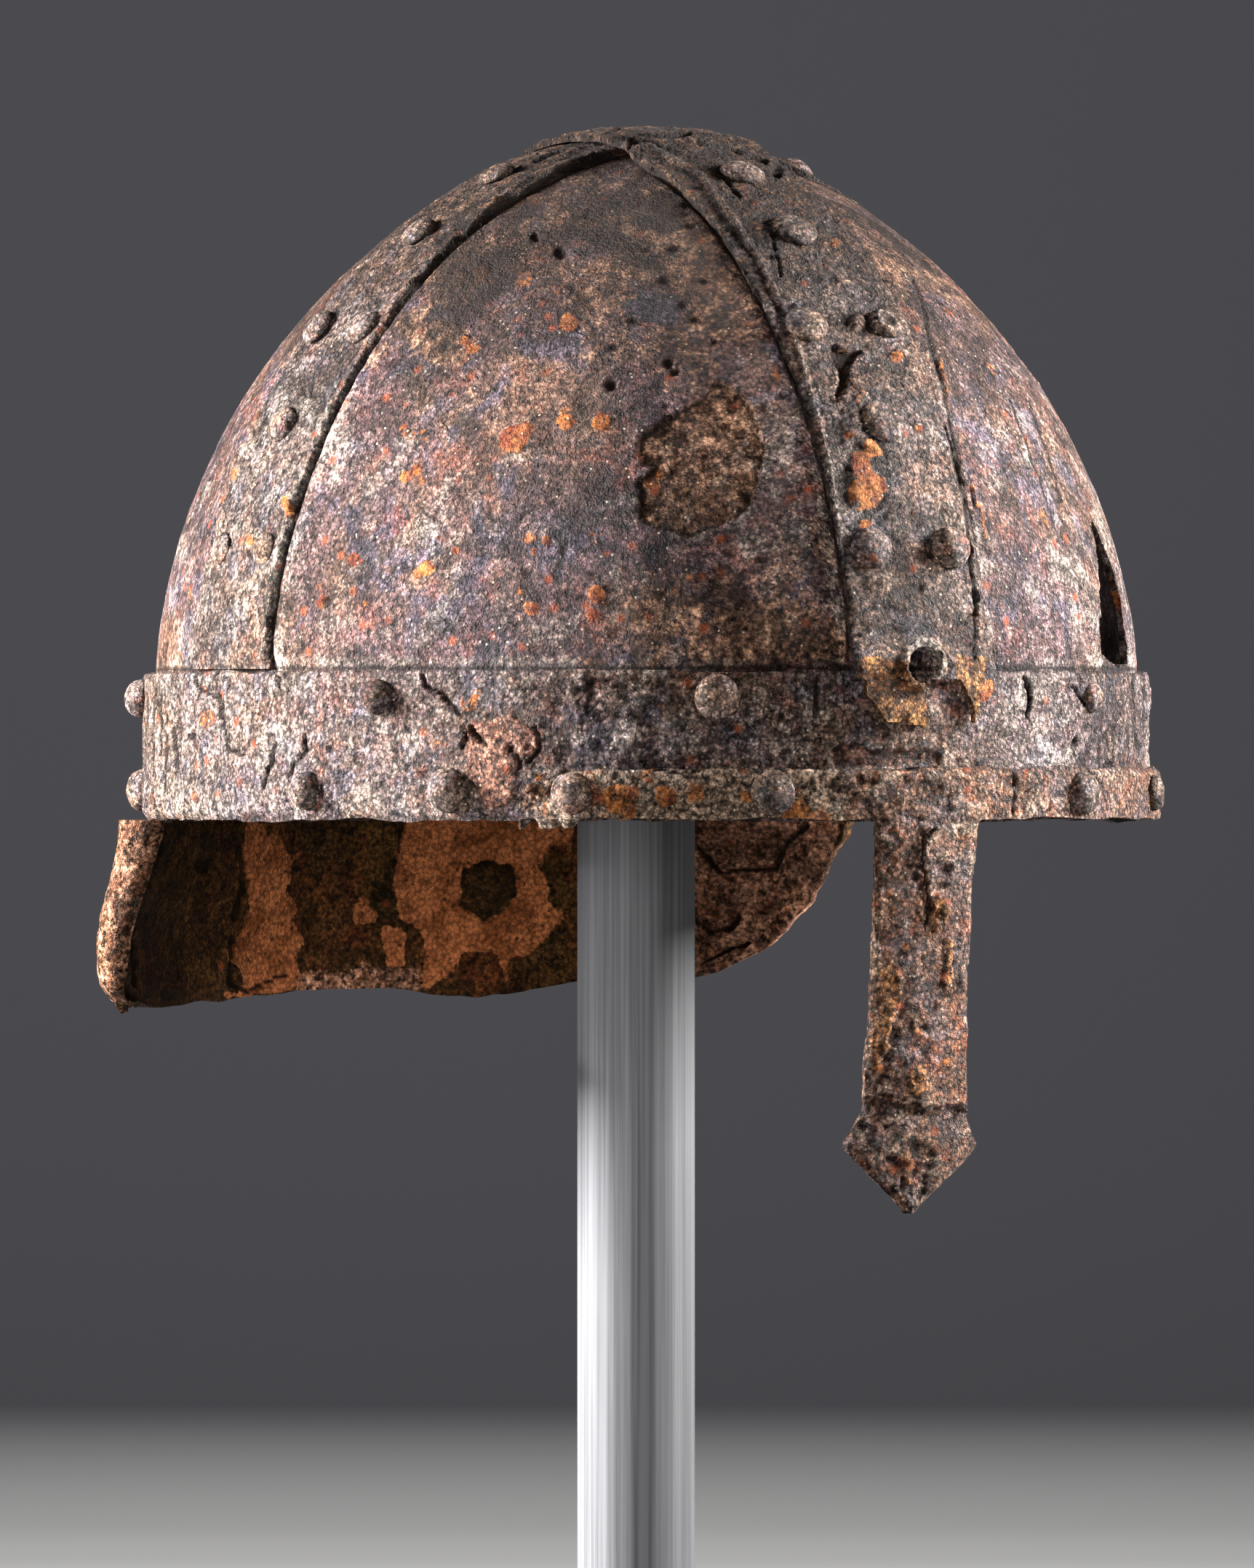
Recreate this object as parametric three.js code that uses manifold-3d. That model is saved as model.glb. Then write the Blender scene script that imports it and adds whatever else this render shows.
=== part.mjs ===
// Banded iron helmet with a nasal and a neck guard, held up on a plain display stand.
// Millimetres, +Z up. The origin is the middle of the stand's underside and the helmet faces -Y,
// so +X is the wearer's left. Four curved plates make the dome. One band runs from ear to ear,
// one from brow to nape over it, a brow band rings the lower edge, and rivets go through them all.
import * as THREE from "three";
import { mergeVertices } from "three/addons/utils/BufferGeometryUtils.js";
import Module from "manifold-3d";

const wasm = await Module();
wasm.setup();

// Dome, measured on the outside of its plates
const domeLength = 236;
const domeWidth = 206;
const domeHeight = 114.6; // above the brow band's upper edge
const crownPower = 1.72; // a lower power gives a more pointed crown
const wallPower = 1.95; // a lower power gives straighter walls
const plateWall = 1.5;
const plateSeam = 0.5; // between neighbouring plates, under a band
const crownHoleRadius = 3.5; // where the four plate corners stop short of each other
const plateRise = 1.5; // the plates' lower edge above the brow band's lower edge
const lossTurn = 40; // degrees from the front to the hole in the front left plate
const lossWidth = 20;
const lossHeight = 30;
const lossFoot = 1.5; // its lower edge above the brow band

// Bands and brow band
const layerGap = 0.3; // between any two layers of iron
const bandWidth = 33.5;
const bandWall = 1.8;
const bandLap = 13; // how far the upper band's ends lap down over the brow band
const lapRamp = 8; // height over which the upper band steps out over the brow band
const crossingRamp = 12; // length over which the upper band steps over the other
const browHeight = 32.5;
const browWall = 2.5;

// Nasal and the brow strip that it is forged with
const stripHeight = 11.3;
const stripWall = 2.2;
const stripReachRight = 47.3; // degrees round the brow, on the wearer's right
const stripReachLeft = 53;
const nasalDrop = 85; // below the brow band's lower edge
const nasalWidth = 24.1;
const nasalNeckWidth = 25.9;
const nasalFootWidth = 34.8;
const nasalTipWidth = 1.6;
const nasalLean = 6; // the tip's set-back towards the face

// Neck guard
const guardWall = 1.8;
const guardDrop = 41;
const guardReachLeft = 57.2; // degrees round from the nape to the free top corner on the wearer's left
const guardReachRight = 76; // it has been knocked round, so this end comes further forward
const guardFlangeReach = 42;
const guardFlangeHeight = 12.5;
const guardFlare = 5; // how far the lower edge stands out
const guardSpring = 3.6; // how far each free end has sprung out
const guardHemWidth = 8; // the end is folded over on the inside
const guardHemWall = 3.4; // extra thickness of the fold

// Rivets
const headRadius = 4.4;
const headHeight = 2.3;
const shankRadius = 1.6;
const shankClearance = 0.3;
const tailRadius = 3.4; // the hammered end inside
const tailHeight = 1.1;
const seatGap = 0.3; // under a head
const tailGap = 0.75; // between the plate and the hammered end, which also clears the facets
const rivetSides = 8;
const drillSides = 6;
const pairSpread = 18.6; // between the two rivets of a pair

// Stand
const rimHeight = 200; // the brow band's lower edge above the ground
const balanceOffset = 4; // the post stands under the balance point, behind the dome's middle
const postRadius = 12.8;
const baseRadius = 85;
const baseHeight = 10;
const baseEdge = 2;
const socketDepth = 5;
const socketGap = 0.3;
const padRadius = 30;
const padDepth = 14;
const padGap = 0.5; // under the plates' inner faces
const postSides = 32;
const baseSides = 48;

// Grid steps: how finely the curved walls are faceted
const plateColumns = 9;
const plateRows = 12;
const bandColumns = 4;
const armRows = 16;
const browColumns = 56;
const degree = Math.PI / 180;

const halfLength = domeLength / 2;
const halfWidth = domeWidth / 2;
const bandLevel = layerGap; // a layer's level is the distance of its inner face from the plates
const browLevel = layerGap;
const overBrowLevel = browLevel + browWall + layerGap;
const overBandLevel = bandLevel + bandWall + layerGap;

const clamp01 = (t) => Math.min(1, Math.max(0, t));
const smooth = (t) => clamp01(t) ** 2 * (3 - 2 * clamp01(t));

// A share of the footprint, from the axis (0) to the wall (1), for an angle up from the crown.
const footprintShare = (angle) => Math.sin(angle) ** (2 / wallPower);

// The dome's outside over the plan point x, y, moved out by level. Below the brow line the wall
// is upright, and drop says how far down it the point lies.
function domePoint(x, y, level, drop = 0) {
  const share = Math.min(1, Math.hypot(x / halfWidth, y / halfLength));
  const rise = Math.max(0, 1 - share ** wallPower) ** (1 / crownPower);
  const slope = wallPower * Math.max(share, 1e-6) ** (wallPower - 2);
  const normal = new THREE.Vector3(
    (slope * x) / halfWidth ** 2,
    (slope * y) / halfLength ** 2,
    drop > 0 ? 0 : (crownPower / domeHeight) * rise ** (crownPower - 1),
  ).normalize();
  return {
    point: new THREE.Vector3(x, y, browHeight + rise * domeHeight - drop).addScaledVector(normal, level),
    normal,
  };
}

// A point on the upright wall: turn is in degrees from the front, positive to the wearer's left.
const wallPlan = (turn) => [halfWidth * Math.sin(turn * degree), -halfLength * Math.cos(turn * degree)];
function wallPoint(turn, z, level) {
  const [x, y] = wallPlan(turn);
  return domePoint(x, y, level, Math.max(browHeight - z, 1e-6));
}

// Closes a sheet of cells, each a list of [column, row] corners, into a wall with two skins.
function wallGeometry(cells, place) {
  const index = new Map();
  const corners = [];
  const number = (corner) => {
    const key = corner.join();
    if (!index.has(key)) {
      index.set(key, corners.length);
      corners.push(corner);
    }
    return index.get(key);
  };
  const faces = cells.map((cell) => cell.map(number));
  const count = corners.length;
  const positions = [1, 0].flatMap((side) => corners.flatMap(([i, j]) => place(i, j, side).toArray()));
  const triangles = [];
  const edges = new Set();
  for (const face of faces) {
    for (let k = 1; k < face.length - 1; k++) {
      triangles.push(face[0], face[k], face[k + 1]);
      triangles.push(face[0] + count, face[k + 1] + count, face[k] + count);
    }
    face.forEach((from, k) => edges.add(from + ":" + face[(k + 1) % face.length]));
  }
  for (const edge of edges) {
    const [from, to] = edge.split(":").map(Number);
    if (edges.has(to + ":" + from)) continue;
    triangles.push(to, from, from + count, to, from + count, to + count);
  }
  const geometry = new THREE.BufferGeometry();
  geometry.setAttribute("position", new THREE.Float32BufferAttribute(positions, 3));
  geometry.setIndex(triangles);
  return geometry;
}

// Cells of a grid whose columns run anticlockwise round the outside and whose rows run up.
function gridCells(firstColumn, lastColumn, firstRow, lastRow, wrap = 0) {
  const cells = [];
  const column = (i) => (wrap ? i % wrap : i);
  for (let i = firstColumn; i < lastColumn; i++)
    for (let j = firstRow; j < lastRow; j++)
      cells.push([
        [column(i), j],
        [column(i + 1), j],
        [column(i + 1), j + 1],
        [column(i), j + 1],
      ]);
  return cells;
}

function solidOf(geometry) {
  const bare = geometry.clone();
  bare.deleteAttribute("normal");
  bare.deleteAttribute("uv");
  const merged = mergeVertices(bare, 1e-4);
  return new wasm.Manifold(
    new wasm.Mesh({
      numProp: 3,
      vertProperties: new Float32Array(merged.attributes.position.array),
      triVerts: new Uint32Array(merged.index.array),
    }),
  );
}

function geometryOf(solid) {
  const mesh = solid.getMesh();
  const geometry = new THREE.BufferGeometry();
  geometry.setAttribute("position", new THREE.BufferAttribute(mesh.vertProperties, 3));
  geometry.setIndex(new THREE.BufferAttribute(mesh.triVerts, 1));
  geometry.computeVertexNormals();
  return geometry;
}

// Rivets: each has a seat on the dome, the level of the layer it sits on, and the nodes it holds
const rivetShape = (length) => [
  [0, headHeight],
  [headRadius * 0.66, headHeight * 0.76],
  [headRadius, 0],
  [shankRadius, 0],
  [shankRadius, -length],
  [tailRadius, -length],
  [0, -length - tailHeight],
];

// A turned profile of [radius, height] points about Z, from its top to its foot.
function turned(profile, sides) {
  const points = [...profile].reverse().map(([r, h]) => new THREE.Vector2(r, h));
  return new THREE.LatheGeometry(points, sides).rotateX(Math.PI / 2);
}

function seatMatrix({ point, normal }) {
  const turn = new THREE.Quaternion().setFromUnitVectors(new THREE.Vector3(0, 0, 1), normal);
  return new THREE.Matrix4().compose(point, turn, new THREE.Vector3(1, 1, 1));
}

const rivets = [];
function addRivet(name, seat, level, holds, lost = false) {
  rivets.push({ name, level, holds, lost, matrix: seatMatrix(seat) });
}

// Heights up the dome of a band's rivets, as shares of the dome's height
const armRivets = [
  { name: "foot", rise: 0.008, pair: false },
  { name: "low", rise: 0.221, pair: true },
  { name: "middle", rise: 0.453, pair: false },
  { name: "high", rise: 0.64, pair: true },
  { name: "upper", rise: 0.814, pair: false },
  { name: "crown", rise: 0.9225, pair: false },
];

const arms = [
  {
    name: "front",
    band: "brow_to_nape_band",
    turn: 0,
    plates: ["front_right_plate", "front_left_plate"],
    lost: "foot", // this rivet has fallen out and its hole is left
  },
  { name: "left", band: "ear_to_ear_band", turn: 90, plates: ["front_left_plate", "back_left_plate"] },
  { name: "nape", band: "brow_to_nape_band", turn: 180, plates: ["back_left_plate", "back_right_plate"] },
  { name: "right", band: "ear_to_ear_band", turn: -90, plates: ["back_right_plate", "front_right_plate"] },
];

// A band's plan point: along is the share of the footprint reached, across is in millimetres.
function bandPlan(turn, along, across) {
  const side = turn === 90 || turn === -90;
  const reach = side ? halfWidth : halfLength;
  const spread = side ? halfLength : halfWidth;
  const out = along * reach * Math.sqrt(1 - (across / spread) ** 2);
  if (turn === 0) return [across, -out];
  if (turn === 180) return [-across, out];
  return turn === 90 ? [out, across] : [-out, -across];
}

for (const arm of arms)
  for (const { name, rise, pair } of armRivets) {
    if (name === "foot" && arm.band === "ear_to_ear_band") continue; // it stops at the brow band
    const along = (1 - rise ** crownPower) ** (1 / wallPower);
    const foot = name === "foot";
    const level = bandWall + (foot ? overBrowLevel : bandLevel);
    const [bandNode, ...plateNodes] = [arm.band, ...arm.plates];
    const spots = pair ? [["a", -pairSpread / 2], ["b", pairSpread / 2]] : [["", 0]];
    for (const [mark, across] of spots) {
      const [x, y] = bandPlan(arm.turn, along, across);
      const holds = [bandNode, ...plateNodes, ...(foot ? ["brow_band"] : [])];
      const rivetName = ["rivet", arm.name, name].join("_") + mark;
      addRivet(rivetName, domePoint(x, y, 0, foot ? 1e-6 : 0), level, holds, arm.lost === name);
    }
  }

// Rivets round the brow: where they sit, in degrees from the front and millimetres up
const browRivetHeight = 26.3;
const hemRivetHeight = 6.2;
const allPlates = arms.flatMap((arm) => arm.plates);
const browRivets = [
  { name: "brow_right_back", turn: -123, z: browRivetHeight },
  { name: "brow_right", turn: -65, z: browRivetHeight },
  { name: "brow_front_right", turn: -25, z: browRivetHeight },
  { name: "brow_front_left", turn: 28.4, z: browRivetHeight },
  { name: "brow_left", turn: 65, z: browRivetHeight },
  { name: "hem_right_back", turn: -126, z: hemRivetHeight },
  { name: "hem_right", turn: -75.1, z: hemRivetHeight },
  { name: "hem_front_right", turn: -55.8, z: hemRivetHeight },
];
for (const { name, turn, z } of browRivets)
  addRivet("rivet_" + name, wallPoint(turn, z, 0), browLevel + browWall, ["brow_band", ...allPlates]);

const stripRivetTurns = [-41, -18.8, 24.2, 46.5];
stripRivetTurns.forEach((turn, k) =>
  addRivet("rivet_strip_" + (k + 1), wallPoint(turn, stripHeight / 2, 0), overBrowLevel + stripWall, [
    "nasal",
    "brow_band",
    ...allPlates,
  ]),
);
const guardRivetTurns = [148, 180, 212];
guardRivetTurns.forEach((turn, k) =>
  addRivet("rivet_guard_" + (k + 1), wallPoint(turn, guardFlangeHeight / 2, 0), overBrowLevel + guardWall, [
    "neck_guard",
    "brow_band",
    ...allPlates,
  ]),
);

// Cuts the holes for every rivet that goes through the named node.
function drilled(node, solid) {
  const drillReach = 12;
  const drill = new THREE.CylinderGeometry(
    shankRadius + shankClearance,
    shankRadius + shankClearance,
    2 * drillReach,
    drillSides,
  ).rotateX(Math.PI / 2);
  let cut = solid;
  for (const rivet of rivets)
    if (rivet.holds.includes(node)) cut = cut.subtract(solidOf(drill.clone().applyMatrix4(rivet.matrix)));
  return cut;
}

// Where the metal has rusted away: shares of the loss's half width and height
const lossOutline = [
  { across: -1, up: 0.07 },
  { across: -0.55, up: 0 },
  { across: 0.9, up: 0 },
  { across: 1, up: 0.3 },
  { across: 0.85, up: 0.7 },
  { across: 0.35, up: 1 },
  { across: 0.05, up: 0.8 },
  { across: -0.75, up: 0.45 },
];

function lossSolid() {
  const depth = 30;
  const place = ({ across, up }) => new THREE.Vector2((across * lossWidth) / 2, up * lossHeight);
  const outline = new THREE.Shape(lossOutline.map(place));
  const cutter = new THREE.ExtrudeGeometry(outline, { depth, bevelEnabled: false });
  const { point, normal } = wallPoint(lossTurn, browHeight + lossFoot, -depth / 2);
  const upright = new THREE.Matrix4().makeBasis(
    new THREE.Vector3(-normal.y, normal.x, 0),
    new THREE.Vector3(0, 0, 1),
    new THREE.Vector3(normal.x, normal.y, 0),
  );
  return solidOf(cutter.applyMatrix4(upright.setPosition(point)));
}

// Plates: a quarter of the dome each, from the crown hole down behind the brow band
function plateSolid(quarter) {
  const angles = Array.from({ length: plateRows + 1 }, (_, j) => (Math.PI / 2) * (1 - j / plateRows));
  const firstShare = crownHoleRadius / halfWidth;
  const place = (i, j, side) => {
    const share = Math.max(footprintShare(angles[Math.max(j, 0)]), firstShare);
    const drop = j < 0 ? browHeight - plateRise : 0;
    const inset = Math.asin(plateSeam / 2 / (share * halfWidth));
    const turn = quarter * (Math.PI / 2) + inset + (Math.PI / 2 - 2 * inset) * (i / plateColumns);
    const x = halfWidth * share * Math.sin(turn);
    const y = -halfLength * share * Math.cos(turn);
    return domePoint(x, y, side ? 0 : -plateWall, drop).point;
  };
  return solidOf(wallGeometry(gridCells(0, plateColumns, -1, plateRows), place));
}

// Bands: a strip over the crown. The upper one steps over the other band and over the brow band.
function bandSolid(firstTurn, secondTurn, isUpper) {
  const across = (i) => bandWidth * (i / bandColumns - 0.5);
  const crossingEdge = bandWidth / 2 + 1;
  const reach = firstTurn === 0 ? halfLength : halfWidth;
  const step = Math.PI / 2 / armRows;
  const wanted = Array.from({ length: armRows }, (_, k) => footprintShare(step * (k + 1)));
  const special = isUpper ? [crossingEdge / reach, (crossingEdge + crossingRamp) / reach] : [];
  const apart = 0.03;
  const shares = [...special, ...wanted.filter((w) => special.every((s) => Math.abs(w - s) > apart))].sort(
    (a, b) => a - b,
  );
  const laps = isUpper ? [bandLap / 2, bandLap] : [];
  const stations = [
    ...shares.map((share) => ({ share, drop: 0 })),
    ...laps.map((drop) => ({ share: 1, drop })),
  ];
  const last = stations.length;
  const place = (i, j, side) => {
    const { share, drop } = j === 0 ? { share: 0, drop: 0 } : stations[Math.abs(j) - 1];
    const mirror = j > 0;
    const [x, y] = bandPlan(mirror ? secondTurn : firstTurn, share, mirror ? -across(i) : across(i));
    const { point } = domePoint(x, y, 0, drop);
    const overBrow = drop > 0 ? 1 : 1 - smooth((point.z - browHeight) / lapRamp);
    const overBand = 1 - smooth((share * reach - crossingEdge) / crossingRamp);
    const raised = overBrow * (overBrowLevel - bandLevel) + overBand * (overBandLevel - bandLevel);
    const level = bandLevel + (isUpper ? raised : 0);
    return domePoint(x, y, level + (side ? bandWall : 0), drop).point;
  };
  return solidOf(wallGeometry(gridCells(0, bandColumns, -last, last), place));
}

// Brow band: a closed ring
function browSolid() {
  const place = (i, j, side) => {
    const level = browLevel + (side ? browWall : 0);
    return wallPoint((360 * i) / browColumns, j * (browHeight - layerGap), level).point;
  };
  return solidOf(wallGeometry(gridCells(0, browColumns, 0, 1, browColumns), place));
}

// Nasal: shares of the drop and the width there
const nasalOutline = [
  { drop: 0, width: nasalWidth, rows: 1 },
  { drop: 0.37, width: (nasalWidth + nasalNeckWidth) / 2, rows: 2 },
  { drop: 0.739, width: nasalNeckWidth, rows: 2 },
  { drop: 0.827, width: nasalFootWidth, rows: 1 },
  { drop: 1, width: nasalTipWidth, rows: 2 },
];

function nasalSolid() {
  const halfTurn = (width) => Math.asin(width / 2 / halfWidth) / degree;
  const nasalColumns = 4;
  const sideColumns = 14;
  const middle = halfTurn(nasalWidth);
  const turns = [];
  for (let i = 0; i <= sideColumns; i++)
    turns.push(-stripReachRight + (stripReachRight - middle) * (i / sideColumns));
  for (let i = 1; i <= nasalColumns; i++) turns.push(-middle + (2 * middle * i) / nasalColumns);
  for (let i = 1; i <= sideColumns; i++) turns.push(middle + ((stripReachLeft - middle) * i) / sideColumns);
  const lastColumn = turns.length - 1;
  const rows = [];
  nasalOutline.slice(1).forEach((to, k) => {
    const from = nasalOutline[k];
    for (let r = 1; r <= to.rows; r++) {
      const blend = (key) => THREE.MathUtils.lerp(from[key], to[key], r / to.rows);
      rows.push({ drop: blend("drop"), width: blend("width") });
    }
  });
  const roundedEnd = 0.22; // the strip's ends are rounded by narrowing their last column
  const place = (i, j, side) => {
    const level = overBrowLevel + (side ? stripWall : 0);
    if (j >= 0) {
      const end = i === 0 || i === lastColumn;
      const share = end ? roundedEnd + (1 - 2 * roundedEnd) * (j / 2) : j / 2;
      return wallPoint(turns[i], stripHeight * share, level).point;
    }
    const { drop, width } = rows[-j - 1];
    const turn = halfTurn(width) * ((2 * (i - sideColumns)) / nasalColumns - 1);
    return wallPoint(turn, -nasalDrop * drop, level - nasalLean * drop).point;
  };
  const cells = [
    ...gridCells(0, lastColumn, 0, 2),
    ...gridCells(sideColumns, sideColumns + nasalColumns, -rows.length, 0),
  ];
  return solidOf(wallGeometry(cells, place));
}

// Neck guard: shares of the drop, and of the reach that the slanting ends keep there
const guardOutline = [
  { drop: 0, reach: 1 },
  { drop: 0.36, reach: 0.955 },
  { drop: 0.72, reach: 0.885 },
  { drop: 0.92, reach: 0.84 },
  { drop: 1, reach: 0.77 },
];

function guardSolid() {
  const flangeColumns = 14;
  const flangeStep = (2 * guardFlangeReach) / flangeColumns;
  const freeColumns = 3;
  const hemTurn = guardHemWidth / halfLength / degree;
  const hemEdge = 0.15; // the step of the fold, as a share of its width
  const freeStops = (reach) => [reach - hemTurn * (1 + hemEdge), reach - hemTurn, reach];
  const turns = [
    ...freeStops(guardReachLeft).reverse().map((t) => -t),
    ...Array.from({ length: flangeColumns + 1 }, (_, i) => flangeStep * i - guardFlangeReach),
    ...freeStops(guardReachRight),
  ];
  const lastColumn = turns.length - 1;
  const place = (i, j, side) => {
    const reach = turns[i] < 0 ? guardReachLeft : guardReachRight;
    const free = clamp01((Math.abs(turns[i]) - guardFlangeReach) / (reach - guardFlangeReach));
    const hem = i <= 1 || i >= lastColumn - 1 ? 1 : 0;
    const row = j >= 0 ? { drop: 0, reach: 1 } : guardOutline[-j];
    const low = row.drop;
    const z = j > 0 ? guardFlangeHeight : -guardDrop * low;
    const spring = guardSpring * smooth(free * 1.4);
    const bow = hem * guardHemWall * (1 - 0.5 * low);
    const outward = overBrowLevel + spring + bow + guardFlare * smooth(low * 1.3);
    const level = side ? outward + guardWall : outward - hem * guardHemWall;
    return wallPoint(180 + turns[i] * row.reach, z, level).point;
  };
  const cells = [
    ...gridCells(0, lastColumn, 1 - guardOutline.length, 0),
    ...gridCells(freeColumns, freeColumns + flangeColumns, 0, 1),
  ];
  return solidOf(wallGeometry(cells, place));
}

// Stand: a round foot, a post in its socket, and a pad that the crown rests on
const postFoot = baseHeight - socketDepth + socketGap;
const padFoot = browHeight + domeHeight - plateWall - padGap - padDepth; // above the rim
const postTop = rimHeight + padFoot + socketDepth - socketGap;

function baseSolid() {
  const profile = [
    [0, baseHeight - socketDepth],
    [postRadius + socketGap, baseHeight - socketDepth],
    [postRadius + socketGap, baseHeight],
    [baseRadius - baseEdge, baseHeight],
    [baseRadius, baseHeight - baseEdge],
    [baseRadius, 0],
    [0, 0],
  ];
  return solidOf(turned(profile, baseSides));
}

function postSolid() {
  const profile = [
    [0, postTop],
    [postRadius, postTop],
    [postRadius, postFoot],
    [0, postFoot],
  ];
  return solidOf(turned(profile, postSides));
}

// The pad's top follows the plates' inner faces. It is centred on the post, in the helmet's frame.
function padSolid() {
  const rings = 4;
  const sides = 24;
  const place = (i, j, side) => {
    const radius = (padRadius * j) / rings;
    const turn = (-2 * Math.PI * i) / sides;
    const x = radius * Math.sin(turn);
    const y = balanceOffset - radius * Math.cos(turn);
    const top = domePoint(x, y, -plateWall - padGap).point;
    return side ? top : new THREE.Vector3(top.x, top.y, padFoot);
  };
  const cells = gridCells(0, sides, 1, rings, sides);
  for (let i = 0; i < sides; i++) cells.push([[(i + 1) % sides, 1], [i, 1], [0, 0]]);
  const socket = turned(
    [
      [0, socketDepth],
      [postRadius + socketGap, socketDepth],
      [postRadius + socketGap, -socketDepth],
      [0, -socketDepth],
    ],
    postSides,
  ).translate(0, balanceOffset, padFoot);
  return solidOf(wallGeometry(cells, place)).subtract(solidOf(socket));
}

// Finishes
const iron = (color, roughness) => new THREE.MeshStandardMaterial({ color, roughness, metalness: 0.35 });
const finishes = {
  plate: iron(0x5a5054, 0.8),
  band: iron(0x736a66, 0.85),
  brow: iron(0x756b67, 0.9),
  nasal: iron(0x6c6056, 0.9),
  guard: iron(0x5c4234, 0.9),
  rivet: iron(0x6e655f, 0.85),
  post: new THREE.MeshStandardMaterial({ color: 0x8c8c8d, roughness: 0.45, metalness: 0.6 }),
  base: new THREE.MeshStandardMaterial({ color: 0x6f6f70, roughness: 0.5, metalness: 0.3 }),
  pad: new THREE.MeshStandardMaterial({ color: 0x4a4a4c, roughness: 0.95, metalness: 0 }),
};

const part = new THREE.Group();
const helmet = new THREE.Group();
helmet.position.set(0, -balanceOffset, rimHeight);
part.add(helmet);

function addMesh(group, name, solid, finish) {
  const mesh = new THREE.Mesh(geometryOf(solid), finishes[finish]);
  mesh.name = name;
  group.add(mesh);
  return mesh;
}

const plateNames = ["front_left_plate", "back_left_plate", "back_right_plate", "front_right_plate"];
plateNames.forEach((name, quarter) => {
  const whole = plateSolid(quarter);
  const plate = name === "front_left_plate" ? whole.subtract(lossSolid()) : whole;
  addMesh(helmet, name, drilled(name, plate), "plate");
});
addMesh(helmet, "brow_to_nape_band", drilled("brow_to_nape_band", bandSolid(0, 180, true)), "band");
addMesh(helmet, "ear_to_ear_band", drilled("ear_to_ear_band", bandSolid(-90, 90, false)), "band");
addMesh(helmet, "brow_band", drilled("brow_band", browSolid()), "brow");
addMesh(helmet, "nasal", drilled("nasal", nasalSolid()), "nasal");
addMesh(helmet, "neck_guard", drilled("neck_guard", guardSolid()), "guard");

for (const rivet of rivets) {
  if (rivet.lost) continue;
  const length = rivet.level + plateWall + seatGap + tailGap;
  const shape = turned(rivetShape(length), rivetSides).translate(0, 0, rivet.level + seatGap);
  addMesh(helmet, rivet.name, solidOf(shape.applyMatrix4(rivet.matrix)), "rivet");
}

addMesh(part, "stand_base", baseSolid(), "base");
addMesh(part, "stand_post", postSolid(), "post");
addMesh(helmet, "stand_pad", padSolid(), "pad");

export default part;
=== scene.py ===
# Corroded iron helmet of riveted plates and bands, held up on a plain post stand.
# The frame gives every piece its size and place. Each piece of iron is then rebuilt here as a fine
# sheet with its flakes, cracks, blisters and rust. Sizes are in millimetres until a mesh is written.
import math

import bpy
import numpy as np
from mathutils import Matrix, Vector


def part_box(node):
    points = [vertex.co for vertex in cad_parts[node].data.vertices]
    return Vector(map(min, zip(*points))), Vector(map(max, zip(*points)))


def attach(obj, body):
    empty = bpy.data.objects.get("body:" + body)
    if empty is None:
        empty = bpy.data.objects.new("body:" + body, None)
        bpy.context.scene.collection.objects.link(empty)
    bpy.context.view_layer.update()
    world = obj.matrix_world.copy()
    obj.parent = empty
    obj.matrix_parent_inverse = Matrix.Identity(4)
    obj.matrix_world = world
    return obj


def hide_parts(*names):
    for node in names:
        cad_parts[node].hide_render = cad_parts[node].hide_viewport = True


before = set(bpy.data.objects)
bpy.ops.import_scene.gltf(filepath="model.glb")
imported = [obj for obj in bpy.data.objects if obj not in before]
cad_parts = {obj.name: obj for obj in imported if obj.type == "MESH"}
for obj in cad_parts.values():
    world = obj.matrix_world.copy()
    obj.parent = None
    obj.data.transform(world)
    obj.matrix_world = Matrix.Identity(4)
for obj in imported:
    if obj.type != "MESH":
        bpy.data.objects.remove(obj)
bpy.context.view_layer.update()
bpy.ops.object.select_all(action="DESELECT")
millimetre = 0.001

# The photograph's view: where its pixels lie on the helmet
view = {
    "width": 1724,
    "height": 2156,
    "pixel": 0.1586,  # mm at the helmet
    "azimuth": -29.8,
    "distance": 8000,
    "axisPixel": 887,  # the dome's axis
    "middle": 207.6,  # height of the picture's middle above the ground
}


def boxOf(node):
    low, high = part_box(node)
    return np.array(low) / millimetre, np.array(high) / millimetre


# The helmet's own frame: its dome's axis and its lower rim, with the sizes read off the nodes
plateLow, plateHigh = boxOf("front_left_plate")
backHigh = boxOf("back_left_plate")[1]
browLow = boxOf("brow_band")[0]
helmet = {
    "halfWidth": plateHigh[0],
    "halfLength": (backHigh[1] - plateLow[1]) / 2,
    "offset": (backHigh[1] + plateLow[1]) / 2,  # the dome's axis from the post's, along Y
    "rim": browLow[2],
    "browHeight": 32.5,
    "domeHeight": 114.6,
    "crownPower": 1.72,
    "wallPower": 1.95,
    "plateWall": 1.5,
    "layerGap": 0.3,
    "bandWidth": 33.5,
    "bandWall": 1.8,
    "browWall": 2.5,
    "stripWall": 2.2,
    "guardWall": 1.8,
}
bandLevel = helmet["layerGap"]
overBandLevel = bandLevel + helmet["bandWall"] + helmet["layerGap"]
overBrowLevel = 2 * helmet["layerGap"] + helmet["browWall"]


def smooth(t):
    t = np.clip(t, 0, 1)
    return t * t * (3 - 2 * t)


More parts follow.
